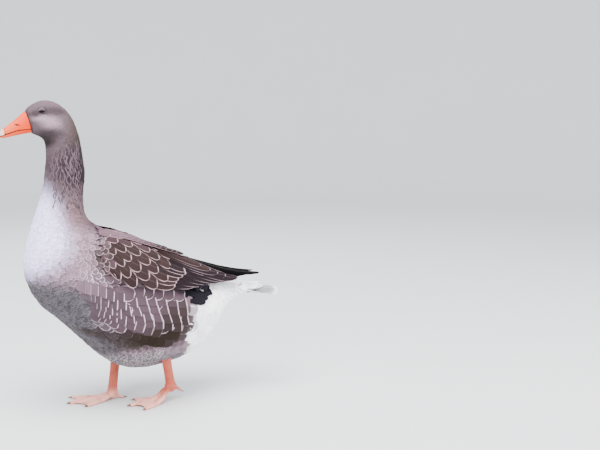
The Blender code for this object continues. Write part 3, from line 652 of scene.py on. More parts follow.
def coat_marks(chance, ground, edge, strength, patches, tints=(0, 1)):
    """What each feather of the coat carries, drawn for each or the same for all"""
    count = len(patches)
    return {"tint": chance.uniform(*tints, count), "ground": np.broadcast_to(ground, (count, 3)),
            "edge": np.broadcast_to(edge, (count, 3)), "strength": np.broadcast_to(strength, count),
            "patch": patches, "patch_size": TUFT_PATCH}


def ramp(values, low, high):
    share = np.clip((values - low) / (high - low), 0.0, 1.0)
    return share * share * (3 - 2 * share)


def smooth(t):
    t = min(max(t, 0.0), 1.0)
    return t * t * (3 - 2 * t)


def unit(vectors):
    return vectors / np.maximum(np.linalg.norm(vectors, axis=-1, keepdims=True), 1e-12)


def curve_at(values, where):
    """A smooth curve through equally spaced tuples, read at where"""
    last = len(values) - 1
    first = min(max(int(math.floor(where)), 0), last - 1)
    t = where - first
    rows = [values[min(max(first + k, 0), last)] for k in (-1, 0, 1, 2)]
    if not isinstance(rows[0], tuple):
        rows = [(row,) for row in rows]
    weights = (
        -0.5 * t + t * t - 0.5 * t**3,
        1 - 2.5 * t * t + 1.5 * t**3,
        0.5 * t + 2 * t * t - 1.5 * t**3,
        -0.5 * t * t + 0.5 * t**3,
    )
    return tuple(sum(w * row[k] for w, row in zip(weights, rows)) for k in range(len(rows[0])))


def blend(a, b, t):
    return tuple(p + (q - p) * t for p, q in zip(a, b))


def combed(points):
    """The lie and length of the coat at points of the bird, in the bird's own measure"""
    half = np.abs(points[:, 1])
    total = np.zeros(len(points))
    lie = np.zeros((len(points), 3))
    length = np.zeros(len(points))
    for comb in COMBS:
        x, y, z = comb.at
        square = (points[:, 0] - x) ** 2 + (half - y) ** 2 + (points[:, 2] - z) ** 2
        weight = 1 / (square + COMB_BLUR**2) ** 2
        total += weight
        way = np.array(comb.lie) / np.linalg.norm(comb.lie)
        lie += weight[:, None] * way
        length += weight * comb.length
    lie[:, 1] *= np.tanh(points[:, 1] / 0.01)
    return unit(lie), length / total


def painted(points):
    """Ground colour, edge colour, how strongly the edge shows, and how mottled the place is"""
    ground = np.tile(colour("shoulder"), (len(points), 1))
    edge = np.tile(colour("shoulder_edge"), (len(points), 1))
    strength = np.full(len(points), 0.5)
    speckle = np.full(len(points), 0.2)
    half = folded(points)
    for patch in PATCHES:
        reach = np.linalg.norm((half - patch.at) / patch.radii, axis=1)
        share = 1 - ramp(reach, 1 - patch.soft, 1 + patch.soft)
        ground += (np.array(colour(patch.ground)) - ground) * share[:, None]
        edge += (np.array(colour(patch.edge)) - edge) * share[:, None]
        strength += (patch.strength - strength) * share
        speckle += (patch.speckle - speckle) * share
    return ground, edge, strength, speckle


def mesh_from(name, points, triangles):
    mesh = bpy.data.meshes.new(name)
    mesh.vertices.add(len(points))
    mesh.vertices.foreach_set("co", np.ascontiguousarray(points, dtype=np.float32).ravel())
    mesh.loops.add(triangles.size)
    mesh.loops.foreach_set("vertex_index", np.ascontiguousarray(triangles, dtype=np.int32).ravel())
    mesh.polygons.add(len(triangles))
    mesh.polygons.foreach_set("loop_start", np.arange(0, triangles.size, 3, dtype=np.int32))
    mesh.update(calc_edges=True)
    mesh.polygons.foreach_set("use_smooth", np.ones(len(triangles), dtype=bool))
    return mesh


def feather_mesh(name, form, grid, ups, marks, finish):
    """Closed thin sheets, one for each grid of points. marks holds what each sheet carries:
    tint, ground, edge, strength and the place of its patch on the baking map."""
    count, rows, columns = grid.shape[:3]
    body = form.thick * np.sin(np.pi * np.clip(np.array(form.steps), 0.06, 0.94)) ** 0.5
    under = grid[:, 1:-1, 1:-1] - ups[:, 1:-1, None] * body[None, 1:-1, None, None]
    points = np.concatenate([grid.reshape(count, -1, 3), under.reshape(count, -1, 3)], axis=1)
    top = np.arange(rows * columns).reshape(rows, columns)
    low = top.copy()
    low[1:-1, 1:-1] = rows * columns + np.arange((rows - 2) * (columns - 2)).reshape(rows - 2, -1)
    faces = []
    for sheet, turned in ((top, False), (low, True)):
        a, b, c, d = (sheet[:-1, :-1], sheet[:-1, 1:], sheet[1:, 1:], sheet[1:, :-1])
        for three in ((a, c, b), (a, d, c)):
            face = np.stack([part.ravel() for part in three], axis=1)
            faces.append(face[:, ::-1] if turned else face)
    faces = np.concatenate(faces)
    per = points.shape[1]
    triangles = (faces[None] + per * np.arange(count)[:, None, None]).reshape(-1, 3)
    mesh = mesh_from(name, points.reshape(-1, 3), triangles)
    steps, lines = np.meshgrid(form.steps, form.lines, indexing="ij")
    along = np.concatenate([steps.ravel(), steps[1:-1, 1:-1].ravel()])
    across = np.concatenate([lines.ravel(), lines[1:-1, 1:-1].ravel()])
    vane = np.empty((count, per, 3), dtype=np.float32)
    vane[..., 0], vane[..., 1], vane[..., 2] = across, along, marks["tint"][:, None]
    mark(mesh, "vane", "FLOAT_VECTOR", vane)
    for key, value, alpha in (("ground", marks["ground"], np.ones(count)),
                              ("rim", marks["edge"], marks["strength"])):
        mark(mesh, key, "FLOAT_COLOR", np.repeat(with_alpha(value, alpha), per, axis=0))
    patch = np.stack([across / 2, along - 0.5], axis=1)[None] * marks["patch_size"]
    places = (marks["patch"][:, None] + patch).reshape(-1, 2)
    layer = mesh.uv_layers.new(name="OFBake")
    layer.data.foreach_set("uv", places[triangles.ravel()].astype(np.float32).ravel())
    on_rim = np.zeros((rows, columns), dtype=bool)
    on_rim[0] = on_rim[-1] = on_rim[:, 0] = on_rim[:, -1] = True
    rim = np.tile(np.concatenate([on_rim.ravel(), np.zeros(per - rows * columns, bool)]), count)
    ends = np.empty(len(mesh.edges) * 2, dtype=np.int32)
    mesh.edges.foreach_get("vertices", ends)
    sharp = mesh.attributes.new("sharp_edge", "BOOLEAN", "EDGE")
    sharp.data.foreach_set("value", rim[ends].reshape(-1, 2).all(axis=1))
    mesh.materials.append(finish)
    return linked(name, mesh)


class Surface:
    """What feathers are laid on: the skin, and whatever lies on it already"""

    def __init__(self, items):
        points, faces = [], []
        for item in items:
            offset = len(points)
            points += [v.co.copy() for v in item.data.vertices]
            faces += [[offset + k for k in face.vertices] for face in item.data.polygons]
        self.tree = BVHTree.FromPolygons(points, faces)

    @classmethod
    def covered(cls, wings=True):
        """The skin with plain forms over the folded wings and the tail, for what lies on them"""
        forms = [wing_pad(side, COVER_DEPTH) for side in (LEFT, RIGHT)] if wings else []
        work = bmesh.new()
        for vertex in made["tail_feathers"].data.vertices:
            work.verts.new(vertex.co)
        hull = bmesh.ops.convex_hull(work, input=work.verts)
        loose = {g for g in hull["geom_interior"] + hull["geom_unused"]
                 if isinstance(g, bmesh.types.BMVert)}
        bmesh.ops.delete(work, geom=list(loose), context="VERTS")
        forms.append(object_from(work, "fan"))
        surface = cls([made["skin"]] + forms)
        for form in forms:
            bpy.data.objects.remove(form)
        return surface

    def nearest(self, points):
        """The surface's places nearest to these points, and its normals there"""
        found = [self.tree.find_nearest(Vector(point))[:2] for point in points]
        return (np.array(part) for part in zip(*found))

    def struck(self, start, way):
        """Where a line first meets the surface, with the normal and face there"""
        return self.tree.ray_cast(Vector(start), Vector(way))[:3]


class Roots:
    """Where feathers start: places struck on a surface, with their patches on the baking map"""

    def __init__(self, surface, skin):
        self.surface, self.skin = surface, skin
        self.places, self.normals, self.patches = [], [], []

    def strike(self, start, way):
        """Adds the place that a line first meets, unless it misses the bird"""
        place, normal, _ = self.surface.struck(start, way)
        face = self.skin.struck(start, way)[2]
        if place is None or face is None:
            return False
        self.places.append(place)
        self.normals.append(normal)
        self.patches.append(patch_at(face))
        return True

    def arrays(self):
        return np.array(self.places), np.array(self.normals), np.array(self.patches)


def lay_feathers(name, form, surface, roots, normals, ways, lengths, widths, chance, look):
    """Feathers that follow the surface from their roots. look holds their rise and sink, what
    lifts, rolls, shears or sways them, and the marks of each."""
    count = len(roots)
    rows = len(form.steps)
    centres, ups, sides = (np.empty((count, rows, 3)) for _ in range(3))
    here, up = roots.copy(), normals.copy()
    way = unit(ways - up * (ways * up).sum(1, keepdims=True))
    for row in range(rows):
        if row:
            step = (form.steps[row] - form.steps[row - 1]) * lengths[:, None]
            ahead = here + way * step
            here, hit_up = surface.nearest(ahead + up * look["reach"])
            up = unit(up * 0.55 + hit_up * 0.45)
            way = unit(way - up * (way * up).sum(1, keepdims=True))
        centres[:, row], ups[:, row], sides[:, row] = here, up, np.cross(up, way)
    steps = np.array(form.steps)
    rise = look["rise"][:, None] * (0.25 + 0.75 * steps**1.2)
    rise = rise - look["sink"] * (1 - ramp(steps, 0, 0.3))
    centres += ups * (rise + look.get("lift", 0.0))[..., None]
    phase = look["phase"] if "phase" in look else chance.uniform(0, 2 * math.pi, count)
    turn = phase[:, None] + steps * look.get("waves", 1.1) * 2 * math.pi
    sway = look.get("sway", 0.0) * np.sin(turn) * ramp(steps, 0, 0.3)
    centres += sides * sway[..., None]
    half = widths[:, None] * np.array(form.widths)
    lines = np.array(form.lines)
    grid = centres[:, :, None] + sides[:, :, None] * (half[..., None] * lines)[..., None]
    droop = half[..., None] * form.camber * lines**2
    upright = np.sign(sides[:, :1, 2])[..., None]
    roll = -upright * look.get("roll", 0.0) * lines * steps[None, :, None]
    grid += ups[:, :, None] * (roll - droop)[..., None]
    if "shear" in look:
        ahead = np.cross(sides, ups)
        slant = look["shear"][:, None, None] * upright * half[..., None] * lines
        slant = slant * steps[None, :, None] ** 2
        grid += ahead[:, :, None] * slant[..., None]
    return feather_mesh(name, form, grid, ups, look["marks"], look["finish"])


# The folded wing's sheet


def wing_sheet(side, u, v, lift):
    """A point of the folded wing: u runs shoulder to tip, v lower edge to upper edge"""
    where = u * (len(WING_TOP) - 1)
    low, top = Vector(curve_at(WING_LOW, where)), Vector(curve_at(WING_TOP, where))
    bulge = curve_at(WING_BULGE, where)[0]
    chord = top - low
    out = Vector((0, chord.z, -chord.y)).normalized()
    turn = 4 * (2 * v - 1) * bulge / chord.length
    slope = (out + chord.normalized() * max(min(turn, 0.8), -0.8)).normalized()
    point = low + chord * v + out * bulge * 4 * v * (1 - v) + slope * lift
    return Vector((point.x + SHIFT, side * point.y, point.z))


def wing_chord(u):
    where = u * (len(WING_TOP) - 1)
    return (Vector(curve_at(WING_TOP, where)) - Vector(curve_at(WING_LOW, where))).length


def edge_drop(u, v):
    """The wing rounds down towards its two long edges, less so towards its tip"""
    return EDGE_DROP * (1 - smooth((u - 0.25) / 0.45)) * min(abs(2 * v - 1), 1.1) ** 3


def pad_height(u, v):
    height = curve_at(PAD_HEIGHTS, max(u, 0.0) / PAD_END * (len(PAD_HEIGHTS) - 1))[0]
    return max(height - edge_drop(u, v), PAD_EDGE)


def wing_pad(side, cover=0.0):
    """The wing's arm as one closed curved pad, its inner face sunk in the body"""
    rows, columns = 16, 8
    work = bmesh.new()
    for inner in (False, True):
        grid = []
        for row in range(rows + 1):
            u = PAD_END * row / rows - PAD_START * (1 - row / rows) ** 4
            sink = -PAD_SINK * (1 - 0.7 * smooth(u / PAD_END))
            line = []
            for column in range(columns + 1):
                v = column / columns
                lift = pad_height(u, v) + cover * smooth(u / 0.12 + 0.1)
                lift += PAD_FRONT * min(u, 0.0) / PAD_START
                if inner:
                    lift = sink * math.sin(math.pi * (0.08 + 0.62 * v))
                line.append(work.verts.new(wing_sheet(side, u, v, lift)))
            grid.append(line)
        for first, second in zip(grid, grid[1:]):
            weave(work, first, second)
    bmesh.ops.bridge_loops(work, edges=[e for e in work.edges if e.is_boundary])
    bmesh.ops.recalc_face_normals(work, faces=work.faces)
    return object_from(work, "pad")


def neighbour_rise(tier, share, step, u):
    """How far across the wing the next feather of the tier runs, at one place along it"""
    levels = []
    for here in (share, share + step):
        root, tip = blend(tier.root, tier.root_last, here), blend(tier.tip, tier.tip_last, here)
        levels.append(root[1] + (tip[1] - root[1]) * (u - root[0]) / (tip[0] - root[0]))
    return levels[1] - levels[0]


def wing_vane(side, form, root, tip, half_width, level):
    """A feather as a grid of points on the wing's sheet, with its normals. Its root and tip are
    (along, across) shares of the wing, and level gives its height over the sheet."""
    grid, ups = [], []
    for a, wide in zip(form.steps, form.widths):
        u, centre = blend(root, tip, a)
        line = []
        for s in form.lines:
            v = centre + s * wide * half_width / wing_chord(u)
            lift = level(a, u, v, centre) + form.camber * half_width * (1 - s * s) * wide
            line.append(wing_sheet(side, u, v, lift))
        grid.append(line)
        up = wing_sheet(side, u, centre, 0.01) - wing_sheet(side, u, centre, 0.0)
        ups.append(up.normalized())
    grid = np.array(grid)
    return (grid if side == LEFT else grid[:, ::-1]), np.array(ups)


def tier_vane(side, tier, number, chance, form):
    """One feather of a tier, over or beneath its neighbours as the tier says"""
    step = 1 / (tier.count - 1)
    share = number / (tier.count - 1)
    root, tip = blend(tier.root, tier.root_last, share), blend(tier.tip, tier.tip_last, share)
    reach = WING_REACH[side] if tier.name == "primary" else 1.0
    varied = VARIED_COVERT_TIP if tier.name == "greater covert" else VARIED_TIP
    tip = (tip[0] * reach + chance.uniform(-varied, varied), tip[1])
    half_width = tier.half_width * (1 + chance.uniform(-VARIED_WIDTH, VARIED_WIDTH))
    start = min(tier.root[0], tier.root_last[0])
    end = max(tier.tip[0], tier.tip_last[0])
    spacing = neighbour_rise(tier, share, step, blend(root, tip, 0.6)[0])

    def level(a, u, v, centre):
        along = (u - start) / (end - start)
        lift = tier.lift[0] + (tier.lift[1] - tier.lift[0]) * along + tier.stack * number
        if tier.name == "scapular":
            lift += SCAPULAR_STEP * (u - root[0]) / ((tier.root_last[0] - tier.root[0]) * step)
        lift -= VANE_SINK * (1 - smooth(a / 0.2))
        return lift - edge_drop(u, v) - tier.tilt * (v - centre) / spacing

    return wing_vane(side, form, root, tip, half_width, level)


# Operators, in the order in which the goose is built


class GOOSE_OT_skin(Operator):
    """One skin under the whole coat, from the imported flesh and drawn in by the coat's depth"""

    bl_idname = "goose.skin"
    bl_label = "Skin"

    nodes = ("torso", "neck", "head", "thigh_left", "thigh_right")
    swell, rounds = 0.0005, 8
    tail_core = ((0.262, 0.0, 0.240), (0.050, 0.030, 0.012))

    def execute(self, context):
        parts = [wing_pad(LEFT), wing_pad(RIGHT)]
        parts += [node_copy([name], "flesh", self.swell) for name in self.nodes]
        fills = [self.tail_core]
        for side in (LEFT, RIGHT):
            fills.append(((EYE_AT[0], side * EYE_AT[1], EYE_AT[2]), (EYE_RADIUS,) * 3))
        for (x, y, z), radii in fills:
            bpy.ops.mesh.primitive_uv_sphere_add(segments=24, ring_count=16, radius=1.0)
            ball = context.active_object
            for vertex in ball.data.vertices:
                vertex.co = [p * r + c for p, r, c in zip(vertex.co, radii, (x + SHIFT, y, z))]
            parts.append(ball)
        skin = merge(parts, "skin")
        soften(skin, sizes().skin_voxel, self.rounds)
        points, normals = read_points(skin)
        depth = coat_depth(combed(points - (SHIFT, 0, 0))[1])
        write_points(skin, points - normals * depth[:, None])
        self.unwrap(skin)
        ground = painted(read_points(skin)[0] - (SHIFT, 0, 0))[0]
        mark(skin.data, "ground", "FLOAT_COLOR", with_alpha(ground, np.ones(len(ground))))
        wear(skin, skin_finish())
        settle(skin, "plumage", *self.nodes)
        return {"FINISHED"}

    def unwrap(self, skin):
        activate(skin)
        skin.data.uv_layers.new(name="OFBake")
        bpy.ops.object.mode_set(mode="EDIT")
        bpy.ops.mesh.select_all(action="SELECT")
        bpy.ops.uv.smart_project(angle_limit=math.radians(66), island_margin=0.004)
        bpy.ops.object.mode_set(mode="OBJECT")


class GOOSE_OT_wings(Operator):
    """The folded wings: flight feathers in tiers, and rows of coverts like shingles"""

    bl_idname = "goose.wings"
    bl_label = "Wings"

    first_tip, last_tip = (0.050, 0.075), (0.345, 0.425)
    low, high, across, drop = 0.07, 0.93, 0.245, 0.11
    narrow, broad = 0.0120, 0.0172
    varied_tip, varied_place = 0.006, 0.018

    def execute(self, context):
        long_finish = feather_finish("flight_feather", 0.09, 0.022, shaft=0.25, gloss=0.7,
                                     streak=0.25, tip_light=0.1, shine=0.03)
        short_finish = feather_finish("covert_feather", 0.12, 0.065, shaft=0.1, gloss=0.8,
                                      tip_light=-0.15, shine=0.06)
        for side in (LEFT, RIGHT):
            chance = np.random.default_rng(WING_SEEDS[side])
            flights = self.tiers(side, chance, VANE_FORM, short=False)
            shingles = self.tiers(side, chance, COVERT_FORM, short=True)
            shingles += self.coverts(side, chance)
            parts = [self.sheets(VANE_FORM, flights, long_finish, chance, 0.0),
                     self.sheets(COVERT_FORM, shingles, short_finish, chance, 0.5)]
            wing = merge(parts, "wing_feathers_" + SIDE_NAMES[side])
            settle(wing, "wing", "wing_" + SIDE_NAMES[side])
        return {"FINISHED"}

    def tiers(self, side, chance, form, short):
        return [(tier_vane(side, tier, number, chance, form), self.paint(tier, number))
                for tier in TIERS if (tier.name == "greater covert") == short
                for number in range(tier.count)]

    def paint(self, tier, number):
        first, last, edge, strength = tier.paint
        share = smooth(number / (tier.count - 1) * 1.6 - 0.3)
        return blend(colour(first), colour(last), share), colour(edge), strength

    def coverts(self, side, chance):
        """Rows of rounded feathers, each row half a feather across from the last"""
        feathers = []
        for row in range(COVERT_ROWS):
            share = row / (COVERT_ROWS - 1)
            tips = blend(self.first_tip, self.last_tip, share * (0.72 + 0.28 * share))
            broad = self.narrow + (self.broad - self.narrow) * min(share * 1.8, 1.0)
            v = self.low + (0.5 * self.across if row % 2 else 0.0)
            while v < self.high:
                u = tips[0] + (tips[1] - tips[0]) * v
                u += chance.uniform(-self.varied_tip, self.varied_tip)
                root = max(u - COVERT_LENGTH, 0.002)
                drop = self.drop * (u - root) / COVERT_LENGTH
                place = v + chance.uniform(-self.varied_place, self.varied_place)
                half = broad * (1 + chance.uniform(-VARIED_WIDTH, VARIED_WIDTH))
                dark = min(0.35 + share * 2.4 + chance.uniform(0, 0.3), 1.0)
                dark *= 1 - 0.8 * smooth((v - 0.6) / 0.3)
                ground = blend(colour("mantle"), colour("covert"), dark)
                vane = wing_vane(side, COVERT_FORM, (root, place + drop), (u, place), half,
                                 self.level)
                feathers.append((vane, (ground, colour("covert_edge"), 1.0)))
                v += self.across
        return feathers

    def level(self, a, u, v, centre):
        lift = pad_height(u, v) - COVERT_SINK + COVERT_RISE * smooth(0.3 + u * 6) * a**1.15
        return lift - COVERT_TILT * (v - centre) / (0.5 * self.across)

    def sheets(self, form, feathers, finish, chance, half):
        """Feathers of one outline as a mesh, each with a cell of its own on half the baking map"""
        vanes, paints = zip(*feathers)
        grids, ups = (np.array(part) for part in zip(*vanes))
        ground, edge, strength = (np.array(part) for part in zip(*paints))
        count = len(feathers)
        across = math.ceil(math.sqrt(count))
        cells = np.arange(count)
        columns, rows = (cells % across + 0.5) / across, (cells // across + 0.5) / across
        marks = {"tint": chance.uniform(0, 1, count), "ground": ground, "edge": edge,
                 "strength": strength, "patch": np.stack([columns, rows * 0.5 + half], axis=1),
                 "patch_size": np.array([0.9 / across, 0.45 / across])}
        return feather_mesh("part", form, grids, ups, marks, finish)


class GOOSE_OT_coat(Operator):
    """Small and middling feathers over the whole skin, combed and painted place by place"""

    bl_idname = "goose.coat"
    bl_label = "Coat"

    crowd = 3.2
    shoulder_at, shoulder_size, shoulder_gap = (-0.125, 0.105, 0.350), (0.046, 0.070, 0.058), 0.8
    mantle_rise = 0.0090
    slate_at, slate_size = (0.116, 0.065, 0.267), (0.036, 0.042, 0.016)
    eye_clear = (0.0105, 0.0082)
    face_front, face_turned, head_above, tail_behind = -0.2440, -0.75, 0.6, 0.260

    def execute(self, context):
        chance = np.random.default_rng(sizes().seed)
        roots, normals, patches = self.scatter(made["skin"], chance)
        own = roots - (SHIFT, 0, 0)
        x, y, z = folded(own).T
        lies, lengths = combed(own)
        lies += chance.normal(0, 0.10, lies.shape) * (1 - 0.5 * self.shoulder(own))[:, None]
        lengths = lengths * chance.uniform(0.86, 1.14, len(lengths))
        shown = own + lies * (lengths * 0.9 * ramp(x, -0.08, 0.0))[:, None]
        ground, edge, strength, speckle = painted(shown)
        # The short coat under the rear flank's large feathers has hardly any pale edges
        strength *= 1 - 0.85 * ramp(x, -0.02, 0.02) * ramp(z, 0.29, 0.27)
        ground *= 1 + (chance.uniform(-1, 1, len(ground)) * speckle)[:, None]
        ground = np.clip(ground, 0, 1)
        over, beneath = Surface.covered(), Surface.covered(wings=False)
        finish = feather_finish("body_feather", 0.22, 0.10)
        # Between the shoulders the coat rides over the wings' inner edges
        raised = self.mantle_rise * ramp(z, 0.380, 0.396) * ramp(y, 0.056, 0.036)
        raised *= ramp(x, -0.150, -0.115) * ramp(x, -0.045, -0.075)
        # Each group takes what those before it left
        groups = (
            ("coat_head", z > 0.598, over, FACE_FORM, 0.36, "plumage"),
            ("coat_neck", (z > 0.44) & (x < -0.10), over, BODY_FORM, 0.30, "plumage"),
            ("coat_breast", x < -0.13, over, BODY_FORM, 0.36, "breast"),
            ("coat_shoulder", (z > 0.27) & (x < -0.03) & (y > 0.065), over, BODY_FORM, 0.36,
             "plumage"),
            ("coat_back", z > 0.27, beneath, BODY_FORM, 0.36, "plumage"),
            ("coat_rear", x > 0.05, beneath, BODY_FORM, 0.34, "white"),
            ("coat_belly", x <= 0.05, beneath, BODY_FORM, 0.36, "breast"),
        )
        left = np.ones(len(own), dtype=bool)
        for name, wanted, surface, form, slim, slot in groups:
            chosen = left & wanted
            left &= ~wanted
            length = lengths[chosen]
            look = {
                "rise": coat_depth(length) * chance.uniform(0.8, 1.35, len(length)),
                "lift": raised[chosen][:, None], "sink": 0.0006, "reach": 0.003, "finish": finish,
                "marks": coat_marks(chance, ground[chosen], edge[chosen], strength[chosen],
                                    patches[chosen]),
            }
            settle(lay_feathers(name, form, surface, roots[chosen], normals[chosen], lies[chosen],
                                length, length * slim, chance, look), slot)
        return {"FINISHED"}

    def scatter(self, skin, chance):
        """Roots spread evenly over the skin, as far apart as the feathers there are long"""
        mesh = skin.data
        mesh.calc_loop_triangles()
        corners = np.array([t.vertices for t in mesh.loop_triangles])
        faces = np.array([t.polygon_index for t in mesh.loop_triangles])
        points = np.array([v.co for v in mesh.vertices])
        a, b, c = points[corners[:, 0]], points[corners[:, 1]], points[corners[:, 2]]
        area = np.linalg.norm(np.cross(b - a, c - a), axis=1) / 2
        middles = (a + b + c) / 3 - (SHIFT, 0, 0)
        gap = combed(middles)[1] * sizes().spacing
        gap = gap * (1 + self.shoulder_gap * self.shoulder(middles))
        wanted = area / gap**2
        number = int(wanted.sum() * self.crowd)
        pick = chance.choice(len(area), number, p=wanted / wanted.sum())
        s, t = chance.uniform(0, 1, (2, number))
        flip = s + t > 1
        s[flip], t[flip] = 1 - s[flip], 1 - t[flip]
        spots = a[pick] + (b[pick] - a[pick]) * s[:, None] + (c[pick] - a[pick]) * t[:, None]
        gaps = gap[pick]
        tree = tree_of(spots)
        alive = np.ones(number, dtype=bool)
        kept = []
        for index in range(number):
            if alive[index]:
                kept.append(index)
                for _, other, _ in tree.find_range(spots[index], gaps[index]):
                    alive[other] = False
        roots, faces = spots[kept], faces[pick[kept]]
        normals = np.array([mesh.polygons[face].normal for face in faces])
        patches = np.array([patch_at(face) for face in faces])
        keep = self.feathered(roots, normals)
        return roots[keep], normals[keep], patches[keep]

    def shoulder(self, own):
        """1 where the body's feathers are large and far apart, in front of the wing"""
        reach = np.linalg.norm((folded(own) - self.shoulder_at) / self.shoulder_size, axis=1)
        return ramp(reach, 1.15, 0.85)

    def feathered(self, roots, normals):
        """False where no feather roots: under the wings, on the eyes and behind the bill"""
        half = folded(roots - (SHIFT, 0, 0))
        x, y, z = half.T
        wide, tall = self.eye_clear
        eye = ((x - EYE_AT[0] + 0.001) / wide) ** 2 + ((z - EYE_AT[2]) / tall) ** 2
        at_eye = (eye < 1) & (y > 0.012)
        at_bill = (x < self.face_front) & (z > self.head_above)
        at_bill &= normals[:, 0] < self.face_turned
        marks = [(side, u, v) for side in (LEFT, RIGHT) for u in np.linspace(0, 0.95, 60)
                 for v in np.linspace(-0.2, 1, 19)]
        tree = tree_of([wing_sheet(side, u, v, 0.008) for side, u, v in marks])
        covered = np.zeros(len(roots), dtype=bool)
        for index, root in enumerate(roots):
            _, nearest, distance = tree.find(Vector(root))
            _, u, v = marks[nearest]
            # How far beneath the wing's lower edge, and how near to its sheet, the skin is bare
            low = -0.04 if u < 0.18 else -0.15 if u < 0.42 else 0.05
            near = 0.020 if u < 0.60 else 0.013
            covered[index] = distance < near and u > 0.04 and low < v < 0.95
        at_tail = x > self.tail_behind
        at_slate = np.linalg.norm((half - self.slate_at) / self.slate_size, axis=1) < 1
        return ~(at_eye | at_bill | at_tail | at_slate | covered)


class GOOSE_OT_flanks(Operator):
    """The large side feathers, in upright rows whose pale tips make the bars of the flank"""

    bl_idname = "goose.flanks"
    bl_label = "Flanks"

    start, first_step, wider, columns = -0.142, 0.0095, 0.00075, 11
    spread = 0.0185
    # The area's upper and lower edges as (x, z), and its rear edge as (z, x)
    upper = ((-0.165, 0.303), (-0.137, 0.289), (-0.114, 0.283), (-0.089, 0.279), (-0.042, 0.272),
             (0.002, 0.264), (0.060, 0.250))
    lower = ((-0.160, 0.235), (-0.115, 0.186), (-0.052, 0.160), (0.005, 0.148), (0.033, 0.160),
             (0.060, 0.190))
    rear = ((0.135, 0.006), (0.155, 0.038), (0.175, 0.053), (0.200, 0.063), (0.236, 0.062),
            (0.262, 0.060))
    lie, outside, overhang = (0.99, 0.0, -0.06), 0.3, 0.014
    # Feathers grow longer from column to column; from first_top on, the top row starts shorter
    first_length, longer, length = 0.028, 0.006, 0.050
    top_length, top_longer, first_top = 0.012, 0.008, 6
    half_width, top_wider = 0.0118, 1.45
    # The bars wave a little and stand in a bow; the wave's start moves on from bar to bar
    wave, wave_length, wave_step, wave_varied = 0.0030, 0.0125, 0.55, 0.15
    bow_depth, bow_middle, bow_height = 0.017, 0.196, 0.075
    slate_tips = ((0.104, 0.255), (0.116, 0.263), (0.130, 0.271), (0.143, 0.276), (0.112, 0.238),
                  (0.120, 0.246), (0.129, 0.254), (0.138, 0.262), (0.148, 0.270))
    slate_length, slate_half_width, slate_lie = 0.042, 0.0088, (0.98, 0.0, -0.08)

    def bow(self, z):
        """How far back the bars stand at a height: they lean, and curve in again at the foot"""
        return self.bow_depth * (1 - ((z - self.bow_middle) / self.bow_height) ** 2)

    def execute(self, context):
        plain = {"tip_light": -0.28, "streak": 0.3, "shine": 0.08}
        finish = feather_finish("flank_feather", 0.0, 0.06, **plain)
        top_finish = feather_finish("flank_top_feather", 0.11, 0.055, **plain)
        surface, skin = Surface.covered(), Surface([made["skin"]])
        for side in (LEFT, RIGHT):
            chance = np.random.default_rng(41 + side)
            starts = Roots(surface, skin)
            tops, lengths, slants = self.plan(side, chance, starts)
            roots, normals, patches = starts.arrays()
            own = roots - (SHIFT, 0, 0)
            lengths = lengths * (1 - 0.12 * ramp(own[:, 2], 0.20, 0.14))
            widths = self.half_width * (1 + (self.top_wider - 1) * (tops == 0))
            widths = widths * chance.uniform(0.98, 1.02, len(roots))
            widths *= np.where(tops == 0, np.minimum(0.25 + lengths / 0.060, 1.0), 1.0)
            lies = np.tile(self.lie, (len(roots), 1))
            lies[:, 2] -= 0.35 * ramp(own[:, 0], -0.08, -0.15)
            tinted = own + lies * (0.7 * lengths)[:, None]
            tinted[:, 0] = np.minimum(tinted[:, 0], 0.045)
            ground, edge, strength, _ = painted(tinted)
            for kind, (name, form, wanted, rise, lift, roll, shear) in enumerate((
                ("coat_flank_top_", COVERT_FORM, top_finish, 0.0044, 0.0016, -0.0016, 0.0),
                ("coat_flank_", LARGE_FORM, finish, 0.0046, 0.0, 0.0011, 1.0),
                ("coat_flank_low_", COVERT_FORM, top_finish, 0.0046, 0.0, 0.0011, 1.0),
            )):
                chosen = tops == kind
                look = {
                    "rise": np.full(chosen.sum(), rise), "lift": lift, "sink": 0.0008, "roll": roll,
                    "shear": slants[chosen] * shear, "reach": 0.006, "finish": wanted,
                    "marks": coat_marks(chance, ground[chosen], edge[chosen], strength[chosen],
                                        patches[chosen], tints=(0.1, 0.9)),
                }
                settle(lay_feathers(name + SIDE_NAMES[side], form, surface, roots[chosen],
                                    normals[chosen], lies[chosen], lengths[chosen], widths[chosen],
                                    chance, look), "plumage")
            self.slate(side, chance, skin)
        return {"FINISHED"}

    def plan(self, side, chance, starts):
        """Strikes the roots column by column. Tells of each whether it lies in the top row (0),
        the bars (1) or the foot (2), how long it is, and how its tip slants with its bar."""
        tops, lengths, slants = [], [], []
        for column in range(self.columns + 1):
            full = min(self.first_length + self.longer * column, self.length)
            tip = self.start + self.first_step * column + self.wider * column**2
            top, low = (np.interp(tip - full, *zip(*edge)) for edge in (self.upper, self.lower))
            count = max(int(round((top - low) / self.spread)), 1)
            wave = self.wave_step * column + chance.normal(0, self.wave_varied)
            short = min(self.top_length + self.top_longer * column, self.length)
            for row in range(count + 1):
                on_top = row == 0 and column >= self.first_top
                long = short if on_top else full
                z = top - row * (top - low) / count
                turn = wave + z / self.wave_length
                wanted = tip - long + self.bow(z) + self.wave * math.sin(turn)
                along = min(wanted, np.interp(z, *zip(*self.rear)) - long)
                start = (along + SHIFT, side * self.outside, z)
                if wanted - along > self.overhang or not starts.strike(start, (0, -side, 0)):
                    continue
                tops.append(0 if on_top else 2 if row == count else 1)
                lengths.append(long)
                lean = (self.bow(z + 0.001) - self.bow(z - 0.001)) / 0.002
                slants.append(lean + self.wave / self.wave_length * math.cos(turn))
        return np.array(tops), np.array(lengths), np.clip(slants, -0.5, 0.5)

